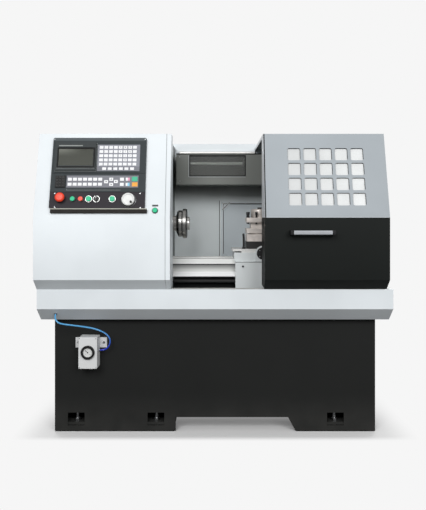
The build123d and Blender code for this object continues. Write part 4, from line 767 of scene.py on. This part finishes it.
# Hood window
# A milky polycarbonate sheet on a seal behind the cut-outs, with a fine prismatic grain. Its tone is
# painted darker towards its left end, as shade.
def milky_sheet(name, colour):
    material, tree, shader = new_material(name, colour, 0.3, specular=0.35)
    shader.inputs["IOR"].default_value = 1.45
    haze = noise(tree, spot(tree), 14, 4.0)
    grain = noise(tree, spot(tree), 260, 3.0)
    share = times(tree, sums(tree, "ADD", haze, grain), 0.5)
    tone = blend(tree, remap(tree, share, (0.35, 0.65), (0, 1)), shade(colour, 0.90), colour)
    # Painted shade: the sheet is painted darker towards its left end.
    left_shade = times(tree, remap(tree, axes(tree)["X"], (0.38, 0.76), (1, 0)), 0.55)
    tone = blend(tree, left_shade, tone, shade(colour, 0.72))
    plug(shader, "Base Color", tone)
    raise_skin(tree, shader, grain, 0.0004)
    return material


dress("door_window", milky_sheet("milky_polycarbonate", (0.86, 0.88, 0.88)), 0)

# Window lips
# A black rubber lip round each cut-out, pressed between the hood and the sheet.
form = bmesh.new()
window_left, window_foot, cut_out, column_pitch, row_pitch = 0.369, 0.0617, 0.065, 0.080, 0.0794
lip_show, lip_width, lip_depth = 0.0012, 0.0060, (-0.0079, -0.0062)
for column in range(5):
    for row in range(4):
        left = window_left + column * column_pitch + lip_show - lip_width
        foot = window_foot + row * row_pitch + lip_show - lip_width
        span = cut_out - 2 * lip_show + 2 * lip_width
        add_frame(form, (left, left + span), (foot, foot + span), lip_depth, lip_width, slope_frame)
new_piece("window_lips", form, black_rubber, body="door")

# Hood handle
# A rounded grey bar held by two black moulded end brackets, screwed through the hood.
dress("door_handle", moulded("handle_grey", (0.42, 0.44, 0.47), 0.38), 0)
handle_low, handle_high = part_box("door_handle")
bracket_black = moulded("bracket_black", (0.012, 0.012, 0.013), 0.4, specular=0.25)
form = bmesh.new()
for x in (handle_low.x - 0.0015, handle_high.x - 0.0165):
    add_block(form, (x, x + 0.018), (handle_low.y - 0.0008, handle_high.y - 0.0002),
              (handle_low.z - 0.0015, handle_high.z + 0.0015))
new_piece("handle_brackets", form, bracket_black, edge=0.003, body="door")

# Operator panel
# A dark grey plate whose lower part is a separate black one, screwed on over a ledge: a beige strip along
# its top as a painted highlight and a near-black foot below as painted shade.
panel_face = 0.014
sub_panel_top = 0.127


def panel_paint(name, high_colour, low_colour):
    """The panel's grey, its blacker lower plate, the dark joints between its parts and a painted highlight
    along its top edge.
    """
    material, tree, shader = new_material(name, high_colour, 0.5, specular=0.12)
    up = slope_place(tree)[1]
    tone = drifting(tree, high_colour, 20)
    tone = blend(tree, sums(tree, "LESS_THAN", up, sub_panel_top), tone, low_colour)
    for joint in (sub_panel_top, 0.225):
        tone = blend(tree, sums(tree, "COMPARE", up, joint, 0.0011), tone, (0.008, 0.008, 0.009))
    # Painted highlight: a paler band along the panel's top edge.
    top_edge_highlight = remap(tree, up, (0.396, 0.404), (0, 0.5))
    tone = blend(tree, top_edge_highlight, tone, (0.16, 0.18, 0.19))
    plug(shader, "Base Color", tone)
    raise_skin(tree, shader, noise(tree, spot(tree), 700, 2.0), 0.00006)
    return material


dress("operator_panel", panel_paint("panel_grey", (0.046, 0.056, 0.060), (0.036, 0.032, 0.038)), 0.0012)


def on_slope(x, up, out):
    """A placing on the sloped face: X across, Y up the slope and Z out of it."""
    return slope_frame @ Matrix.Translation((x, up, out))


def add_slab(form, across, up, out):
    """A box on the sloped face, from its limits across, up and out of it."""
    add_block(form, across, up, out, slope_frame)


def new_slabs(name, material, edge, *slabs):
    """A piece of the machine made of boxes on the sloped face."""
    form = bmesh.new()
    for slab in slabs:
        add_slab(form, *slab)
    return new_piece(name, form, material, edge=edge)


# Painted light and shade: the ledge's beige top strip stands in for its lit edge, and the near-black foot
# below it for the shade under the panel.
ledge_across = (-0.8146, -0.337)
ledge_highlight = moulded("ledge_highlight", (0.42, 0.42, 0.36), 0.4)
new_slabs("panel_ledge", ledge_highlight, 0.0010, (ledge_across, (0.0362, 0.0412), (0, 0.020)))
foot_shade = moulded("foot_shade", (0.020, 0.017, 0.015), 0.5, specular=0.12)
new_slabs("panel_foot", foot_shade, 0.0010, (ledge_across, (0.0200, 0.0362), (0, 0.0155)))
form = bmesh.new()
for place in (
    (-0.796, 0.119), (-0.792, 0.0485), (-0.3726, 0.119), (-0.369, 0.045), (-0.815, 0.407), (-0.355, 0.407),
):
    add_screw(form, on_slope(*place, panel_face), 0.0036)
new_piece("panel_screws", form, zinc_plate)

# Screen unit
# A moulded bezel with a pale outline round a black surround and an olive display pane, and a bare
# label bar and a fine bright line above and below the pane.
def display_pane(name, low, high):
    """An unlit display: olive grey, with a painted reflection in its upper left corner."""
    material, tree, shader = new_material(name, low, 0.22, specular=0.10)
    x, up = slope_place(tree)[:2]
    # Painted reflection: a pale patch painted into the pane's upper left corner.
    across = remap(tree, x, (-0.792, -0.66), (1, 0))
    rise = remap(tree, up, (0.31, 0.362), (0, 1))
    ripple = remap(tree, noise(tree, spot(tree), 30, 2.0), (0.3, 0.7), (0.8, 1))
    painted_reflection = times(tree, times(tree, across, rise), ripple)
    plug(shader, "Base Color", blend(tree, painted_reflection, low, high))
    return material


bezel = moulded("screen_bezel", (0.052, 0.060, 0.062), 0.5, specular=0.12)
dress("screen_unit", bezel, 0.0012)
dress("screen_glass", display_pane("display_pane", (0.050, 0.054, 0.042), (0.20, 0.21, 0.18)), 0)
form = bmesh.new()
step_across = (-0.7965, -0.6055)
add_frame(form, step_across, (0.2530, 0.3610), (0.0195, 0.0212), 0.0075, slope_frame)
new_piece("screen_step", form, moulded("screen_step", (0.010, 0.010, 0.010), 0.45, specular=0.12),
          edge=0.0006)
form = bmesh.new()
add_frame(form, (-0.8060, -0.5960), (0.2330, 0.3840), (0.0188, 0.0198), 0.0012, slope_frame)
add_slab(form, step_across, (0.2495, 0.2510), (0.0195, 0.0204))
add_slab(form, (-0.7900, -0.6700), (0.3680, 0.3740), (0.0195, 0.0202))
new_piece("screen_line", form, moulded("screen_line", (0.23, 0.25, 0.24), 0.4), edge=0.0002)

# Keypads
# Two sheets of printed film with raised keys. Most keys are white, the two at the lower pad's end
# are green and amber, and two beside them are half pink and half blue.
film_face = panel_face + 0.0012
key_top = film_face + 0.0016
upper_columns = [-0.575 + 0.02417 * column for column in range(8)]
upper_rows = (0.363, 0.3405, 0.318, 0.2955, 0.273)
film_grey = moulded("film_grey", (0.27, 0.28, 0.32), 0.42, 0.25, 0.00003)
film_lilac = moulded("film_lilac", (0.20, 0.205, 0.235), 0.42, 0.25, 0.00003)
key_white = moulded("key_white", (0.90, 0.91, 0.93), 0.38, 0.3, 0.00003)
upper_across, film_depth = (-0.5936, -0.3795), (panel_face, film_face)
new_slabs("upper_film", film_grey, 0.0003, (upper_across, (0.2605, 0.378), film_depth))
lower_film = new_slabs(
    "lower_film", film_lilac, 0.0003,
    ((-0.742, -0.383), (0.150, 0.213), film_depth), (upper_across, (0.2365, 0.2605), film_depth),
)
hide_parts("keypads")


def add_key(form, x, up, width, height):
    across, rise = (x - width / 2, x + width / 2), (up - height / 2, up + height / 2)
    add_slab(form, across, rise, (film_face - 0.0002, key_top))


form = bmesh.new()
for x in upper_columns:
    for up in upper_rows:
        add_key(form, x, up, 0.0193, 0.0154)
for column in range(6):
    add_key(form, -0.557 + 0.028 * column, 0.2490, 0.020, 0.0140)
for column in range(7):
    for up in (0.193, 0.167):
        add_key(form, -0.7255 + 0.02525 * column, up, 0.020, 0.016)
for x, up in (
    (-0.544, 0.180), (-0.519, 0.193), (-0.518, 0.166), (-0.495, 0.181), (-0.465, 0.193), (-0.465, 0.166),
):
    add_key(form, x, up, 0.0195, 0.0165)
for up in (0.193, 0.166):
    add_key(form, -0.441, up, 0.0100, 0.0165)
new_piece("white_keys", form, key_white, edge=0.0006)
for name, key_colour, place, size in (
    ("green_key", (0.03, 0.50, 0.28), (-0.4016, 0.1945), (0.028, 0.024)),
    ("amber_key", (0.93, 0.40, 0.03), (-0.4006, 0.1660), (0.028, 0.022)),
    ("pink_key", (0.80, 0.36, 0.50), (-0.4310, 0.1930), (0.0100, 0.0165)),
    ("blue_key", (0.30, 0.66, 0.88), (-0.4310, 0.1660), (0.0100, 0.0165)),
):
    form = bmesh.new()
    add_key(form, *place, *size)
    new_piece(name, form, moulded(name, key_colour, 0.38, specular=0.3), edge=0.0006)

# Pad trim
# A fine bright line printed under the lower keypad, which turns up at its left end.
trim_depth = (panel_face - 0.0003, panel_face + 0.0004)
new_slabs(
    "pad_trim", moulded("pad_trim", (0.20, 0.21, 0.21), 0.5), 0,
    ((-0.740, -0.470), (0.1362, 0.1380), trim_depth), ((-0.740, -0.738), (0.1380, 0.1440), trim_depth),
)

# Key legends
# Plain figures and arrow heads printed on the caps.
def add_words(form, words, size, place):
    """Raised lettering, centred on the placing's XY plane."""
    curve = bpy.data.curves.new("lettering", "FONT")
    curve.body = words
    curve.size = size
    curve.align_x = "CENTER"
    curve.align_y = "CENTER"
    curve.extrude = 0.00012
    curve.resolution_u = 2
    holder = bpy.data.objects.new("lettering", curve)
    mesh = bpy.data.meshes.new_from_object(holder)
    mesh.transform(place)
    form.from_mesh(mesh)
    bpy.data.objects.remove(holder)
    bpy.data.curves.remove(curve)
    bpy.data.meshes.remove(mesh)


form = bmesh.new()
for column, row, figure in (
    (4, 0, "7"), (5, 0, "8"), (6, 0, "9"), (4, 1, "4"), (5, 1, "5"), (6, 1, "6"),
    (4, 2, "1"), (5, 2, "2"), (6, 2, "3"), (4, 3, "-"), (5, 3, "0"), (6, 3, "."),
):
    add_words(form, figure, 0.011, on_slope(upper_columns[column], upper_rows[row], key_top))
for x, up, turn in ((-0.544, 0.180, 90), (-0.519, 0.193, 0), (-0.518, 0.166, 180), (-0.495, 0.181, -90)):
    arrow = on_slope(x, up, key_top) @ Matrix.Rotation(radians(turn + 90), 4, "Z")
    add_round(form, 0.0045, 0, 0.00015, arrow, segments=3)
new_piece("key_legends", form, moulded("legend_ink", (0.03, 0.03, 0.04), 0.5, specular=0.2))

# Port cover
# A black rubber flap with a raised grid, which closes the sockets beside the lower keypad.
form = bmesh.new()
port_left, port_foot, port_face = -0.7997, 0.147, 0.019
port_across, port_rise = (port_left + 0.002, port_left + 0.052), (port_foot + 0.002, port_foot + 0.064)
add_slab(form, port_across, port_rise, (port_face - 0.001, port_face + 0.0015))
for column in range(3):
    for row in range(4):
        pad_x = port_left + 0.005 + column * 0.0150
        pad_up = port_foot + 0.005 + row * 0.0146
        add_slab(form, (pad_x, pad_x + 0.0130), (pad_up, pad_up + 0.0126), (port_face, port_face + 0.004))
new_piece("port_cover", form, moulded("port_rubber", (0.012, 0.013, 0.013), 0.45, specular=0.3),
          edge=0.0012)

# Push buttons
# Moulded caps in collars. Three of the collars are bright rings and the others are black.
collars, collar_tree, collar_shader = new_material("button_collars", (0.02, 0.02, 0.02), 0.3)
collar_x, collar_up = slope_place(collar_tree)[:2]
button_row, ring_radius, ring_half_width = 0.0896, 0.0158, 0.0014
bright = None
for button_x in (-0.626, -0.588, -0.509):
    aside = sums(collar_tree, "SUBTRACT", collar_x, button_x)
    above = sums(collar_tree, "SUBTRACT", collar_up, button_row)
    middle = node(collar_tree, "CombineXYZ", {"X": aside, "Y": above}).outputs[0]
    radius = node(collar_tree, "VectorMath", {0: middle}, operation="LENGTH").outputs["Value"]
    rim = sums(collar_tree, "COMPARE", radius, ring_radius, ring_half_width)
    bright = rim if bright is None else sums(collar_tree, "MAXIMUM", bright, rim)
collar_grain = drifting(collar_tree, (0.80, 0.81, 0.80), 200, 0.85, 1.1)
collar_tone = blend(collar_tree, bright, (0.012, 0.012, 0.012), collar_grain)
plug(collar_shader, "Base Color", collar_tone)
plug(collar_shader, "Metallic", remap(collar_tree, bright, (0, 1), (0.0, 0.35)))
dress("button_collars", collars, 0.0004)
red_plastic = moulded("red_plastic", (0.95, 0.070, 0.028), 0.34, specular=0.3)
green_plastic = moulded("green_plastic", (0.008, 0.56, 0.27), 0.34, specular=0.25)
for name in ("emergency_stop", "stop_button"):
    dress(name, red_plastic, 0.0004)
for name in ("start_button", "cycle_button", "feed_button", "cover_button"):
    dress(name, green_plastic, 0.0004)

# Selector and hand dial
# A black selector with a white pointer line, and a white hand dial with a crank knob and fifty
# printed marks.
dress("mode_selector", moulded("selector_black", (0.02, 0.02, 0.02), 0.35, specular=0.3), 0.0006)
form = bmesh.new()
pointer = on_slope(-0.588, button_row, panel_face + 0.0183)
add_block(form, (-0.0011, 0.0011), (0.001, 0.012), (0, 0.0003), pointer)
white_ink = moulded("white_ink", (0.80, 0.80, 0.78), 0.5)
new_piece("selector_line", form, white_ink, body="mode")

dial_centre = (-0.429, 0.0847)
dial_white, dial_tree, dial_shader = new_material("dial_white", (0.82, 0.83, 0.82), 0.35, specular=0.3)
dial_x, dial_up, dial_out = slope_place(dial_tree)
knob_limits = ((-0.4196, -0.4084), (0.0641, 0.0753), (0.0336, 0.06))
knob_share = inside(dial_tree, (dial_x, dial_up, dial_out), knob_limits)
plug(dial_shader, "Base Color", drifting(dial_tree, (0.82, 0.83, 0.82), 40))
tint(dial_tree, dial_shader, knob_share, (0.02, 0.02, 0.02))
dress("hand_dial", dial_white, 0.0006)
form = bmesh.new()
for mark in range(50):
    long = mark % 5 == 0
    tick = on_slope(*dial_centre, panel_face + 0.0223) @ Matrix.Rotation(tau * mark / 50, 4, "Z")
    add_block(form, (-0.0003, 0.0003), (0.0255 if long else 0.0272, 0.0296), (0, 0.00015), tick)
new_piece("dial_marks", form, moulded("black_ink", (0.02, 0.02, 0.02), 0.5), body="dial")
form = bmesh.new()
add_ring(form, 0.0355, 0.0012, on_slope(*dial_centre, panel_face + 0.0008))
new_piece("dial_ring", form, zinc_plate)

# Cover plate by the button
# A small bare plate over the green button on the cover.
plate_grey = moulded("plate_grey", (0.07, 0.072, 0.075), 0.4, specular=0.2)
new_slabs("button_plate", plate_grey, 0.0004, ((-0.3125, -0.2825), (0.056, 0.065), (0, 0.0012)))

# Air regulator
# A white painted box on a bracket with two bolts, a black-rimmed gauge, and the hose's elbow.
regulator_white = powder_coat("regulator_white", (0.76, 0.77, 0.775), 0.4, 0.35)
dress("regulator_box", regulator_white, 0.0008)
dress("pressure_gauge", moulded("gauge_black", (0.012, 0.012, 0.012), 0.35, specular=0.3), 0.0005)
dress("gauge_needle", black_oxide, 0)
dress("hose_fittings", zinc_plate, 0.0005)
gauge = at(-0.650, -0.404, 0.433)
form = bmesh.new()
add_round(form, 0.0238, 0, 0.0004, gauge, segments=48)
new_piece("gauge_dial", form, moulded("gauge_white", (0.80, 0.81, 0.80), 0.4))
form = bmesh.new()
for mark in range(21):
    turn = radians(225 - mark * 13.5)
    tick = gauge @ Matrix.Rotation(turn - pi / 2, 4, "Z")
    add_block(form, (-0.0003, 0.0003), (0.0195 if mark % 5 else 0.0180, 0.0222), (0.0004, 0.0006), tick)
    if mark % 5 == 0:
        add_words(form, str(mark // 2), 0.0055,
                  gauge @ Matrix.Translation((0.0145 * cos(turn), 0.0145 * sin(turn), 0.0005)))
new_piece("gauge_marks", form, moulded("gauge_ink", (0.02, 0.02, 0.02), 0.5))
form = bmesh.new()
add_screws(form, (-0.714, -0.582), -0.324, (0.4685,), 0.0075)
add_screws(form, (-0.693, -0.609), -0.400, (0.354, 0.503), 0.0026)
new_piece("regulator_screws", form, zinc_plate)

# Air hose
# Soft polyurethane tube, extruded in translucent blue, which sags from the pan's gland to the
# regulator's elbow. Its points are those of the CAD tube.
hose_diameter = 0.008
hose_points = [
    (-0.8120, -0.4125, 0.6289), (-0.8120, -0.4241, 0.6151), (-0.8034, -0.4327, 0.5999),
    (-0.7879, -0.4355, 0.5877), (-0.7632, -0.4303, 0.5815), (-0.7280, -0.4165, 0.5745),
    (-0.6920, -0.4000, 0.5665), (-0.6550, -0.3840, 0.5580), (-0.6180, -0.3710, 0.5480),
    (-0.5750, -0.3640, 0.5290), (-0.5520, -0.3610, 0.5095), (-0.5426, -0.3600, 0.4885),
    (-0.5442, -0.3590, 0.4666), (-0.5565, -0.3580, 0.4465), (-0.5750, -0.3580, 0.4358),
    (-0.5968, -0.3580, 0.4358),
]
hose_curve = bpy.data.curves.new("air_hose_tube", "CURVE")
hose_curve.dimensions = "3D"
hose_curve.resolution_u = 16
hose_curve.bevel_depth = hose_diameter / 2
hose_curve.bevel_resolution = 6
hose_curve.use_fill_caps = True
hose_line = hose_curve.splines.new("NURBS")
hose_line.points.add(len(hose_points) - 1)
for point, place in zip(hose_line.points, hose_points):
    point.co = (*place, 1)
hose_line.order_u = 3
hose_line.use_endpoint_u = True
hose = bpy.data.objects.new("air_hose_tube", hose_curve)
bpy.context.scene.collection.objects.link(hose)
hose_blue, hose_tree, hose_shader = new_material("hose_blue", (0.02, 0.20, 0.70), 0.22)
hose_shader.inputs["Coat Weight"].default_value = 0.3
# Painted light and shade: the hose is a lit pale blue higher up and a shaded deep blue lower down.
hose_height = height_of(hose_tree)
hose_light_share = remap(hose_tree, hose_height, (0.44, 0.575), (0, 1))
hose_lit_and_shaded = blend(hose_tree, hose_light_share, (0.012, 0.035, 0.50), (0.10, 0.42, 0.78))
plug(hose_shader, "Base Color", hose_lit_and_shaded)
hose.data.materials.append(hose_blue)
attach(hose, "machine")
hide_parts("air_hose")

# Studio
# A pale floor that fades into the plain background, and soft boxes round the machine. Only the
# camera sees the floor this pale, so that little light comes up under the pan. Under the base's feet
# the floor is painted near-black, as shade.
background = (0.9215, 0.9215, 0.9215)
floor_mesh = bpy.data.meshes.new("studio_floor")
form = bmesh.new()
bmesh.ops.create_grid(form, x_segments=1, y_segments=1, size=30)
form.to_mesh(floor_mesh)
form.free()
floor = bpy.data.objects.new("studio_floor", floor_mesh)
bpy.context.scene.collection.objects.link(floor)
floor_paint, floor_tree, floor_shader = new_material("studio_floor", (0.16, 0.16, 0.16), 0.9, specular=0.0)
lit_floor = node(floor_tree, "BsdfDiffuse", {"Color": (0.93, 0.93, 0.93, 1)})
pale_floor = node(floor_tree, "Emission", {"Color": (*background, 1), "Strength": 1.0})
floor_x, floor_y = axes(floor_tree)[:2]
base_depth = (-0.317, 0.48)
# Painted shade: under the base's feet the floor is near-black and has no pale glow.
under_left = inside(floor_tree, (floor_x, floor_y), ((-0.84, -0.215), base_depth))
under_right = inside(floor_tree, (floor_x, floor_y), ((0.425, 0.84), base_depth))
painted_shade_under_base = sums(floor_tree, "ADD", under_left, under_right)
before = remap(floor_tree, floor_y, (-0.46, -0.385), (0, 1))
behind = remap(floor_tree, floor_y, (-0.36, 0.20), (1, 0.35))
before = times(floor_tree, before, behind)
before = times(floor_tree, before, remap(floor_tree, floor_y, (0.5, 0.9), (1, 0)))
beside = remap(floor_tree, sums(floor_tree, "ABSOLUTE", floor_x), (0.84, 1.06), (1, 0))
fade = sums(floor_tree, "SUBTRACT", 1.0, times(floor_tree, before, beside))
floor_tone = blend(floor_tree, painted_shade_under_base, (0.93, 0.93, 0.93), (0.015, 0.015, 0.015))
floor_tree.links.new(floor_tone, lit_floor.inputs["Color"])
fade = times(floor_tree, fade, sums(floor_tree, "SUBTRACT", 1.0, painted_shade_under_base))
seen_floor = node(floor_tree, "MixShader", {0: fade, 1: lit_floor.outputs[0], 2: pale_floor.outputs[0]})


def show_camera(tree, output, other, seen):
    """Shows the camera one shader, and every other ray the other."""
    path = node(tree, "LightPath").outputs["Is Camera Ray"]
    mix = node(tree, "MixShader", {0: path, 1: other.outputs[0], 2: seen.outputs[0]})
    tree.links.new(mix.outputs[0], tree.nodes[output].inputs["Surface"])


show_camera(floor_tree, "Material Output", floor_shader, seen_floor)
floor.data.materials.append(floor_paint)

world = bpy.data.worlds.new("studio")
bpy.context.scene.world = world
world.use_nodes = True
sky = world.node_tree
sky_light = sky.nodes["Background"]
sky_light.inputs["Color"].default_value = (1, 1, 1, 1)
sky_light.inputs["Strength"].default_value = 0.40
seen_sky = node(sky, "Background", {"Color": (*background, 1), "Strength": 1.0})
show_camera(sky, "World Output", sky_light, seen_sky)


def soft_box(name, place, power):
    """A square soft box at place that points at the machine's middle."""
    light = bpy.data.lights.new(name, "AREA")
    light.size = 2.4
    light.energy = power
    lamp = bpy.data.objects.new(name, light)
    lamp.location = place
    lamp.rotation_euler = (Vector((0, 0, 1.0)) - Vector(place)).to_track_quat("-Z", "Y").to_euler()
    bpy.context.scene.collection.objects.link(lamp)


soft_box("key", (-1.6, -5.2, 3.6), 145)
soft_box("fill", (2.2, -5.2, 3.0), 108)
soft_box("back_left", (-3.0, 4.2, 3.2), 90)
soft_box("back_right", (3.0, 4.2, 3.2), 90)

# Camera
# It stands square on, as high as the hood's bend, and its frame is shifted down as in the photograph.
frame_width, frame_height = 426, 510
lens_pixels = 594.7
axis_across, axis_down = 215, 217
camera = bpy.data.cameras.new("camera")
camera.sensor_width = 36
camera.lens = lens_pixels * camera.sensor_width / frame_height
camera.shift_x = (frame_width / 2 - axis_across) / frame_height
camera.shift_y = (axis_down - frame_height / 2) / frame_height
view_point = bpy.data.objects.new("camera", camera)
view_point.location = (0, -3.44, 1.125)
view_point.rotation_euler = (pi / 2, 0, 0)
bpy.context.scene.collection.objects.link(view_point)
bpy.context.scene.camera = view_point
bpy.context.scene.view_settings.view_transform = "Standard"
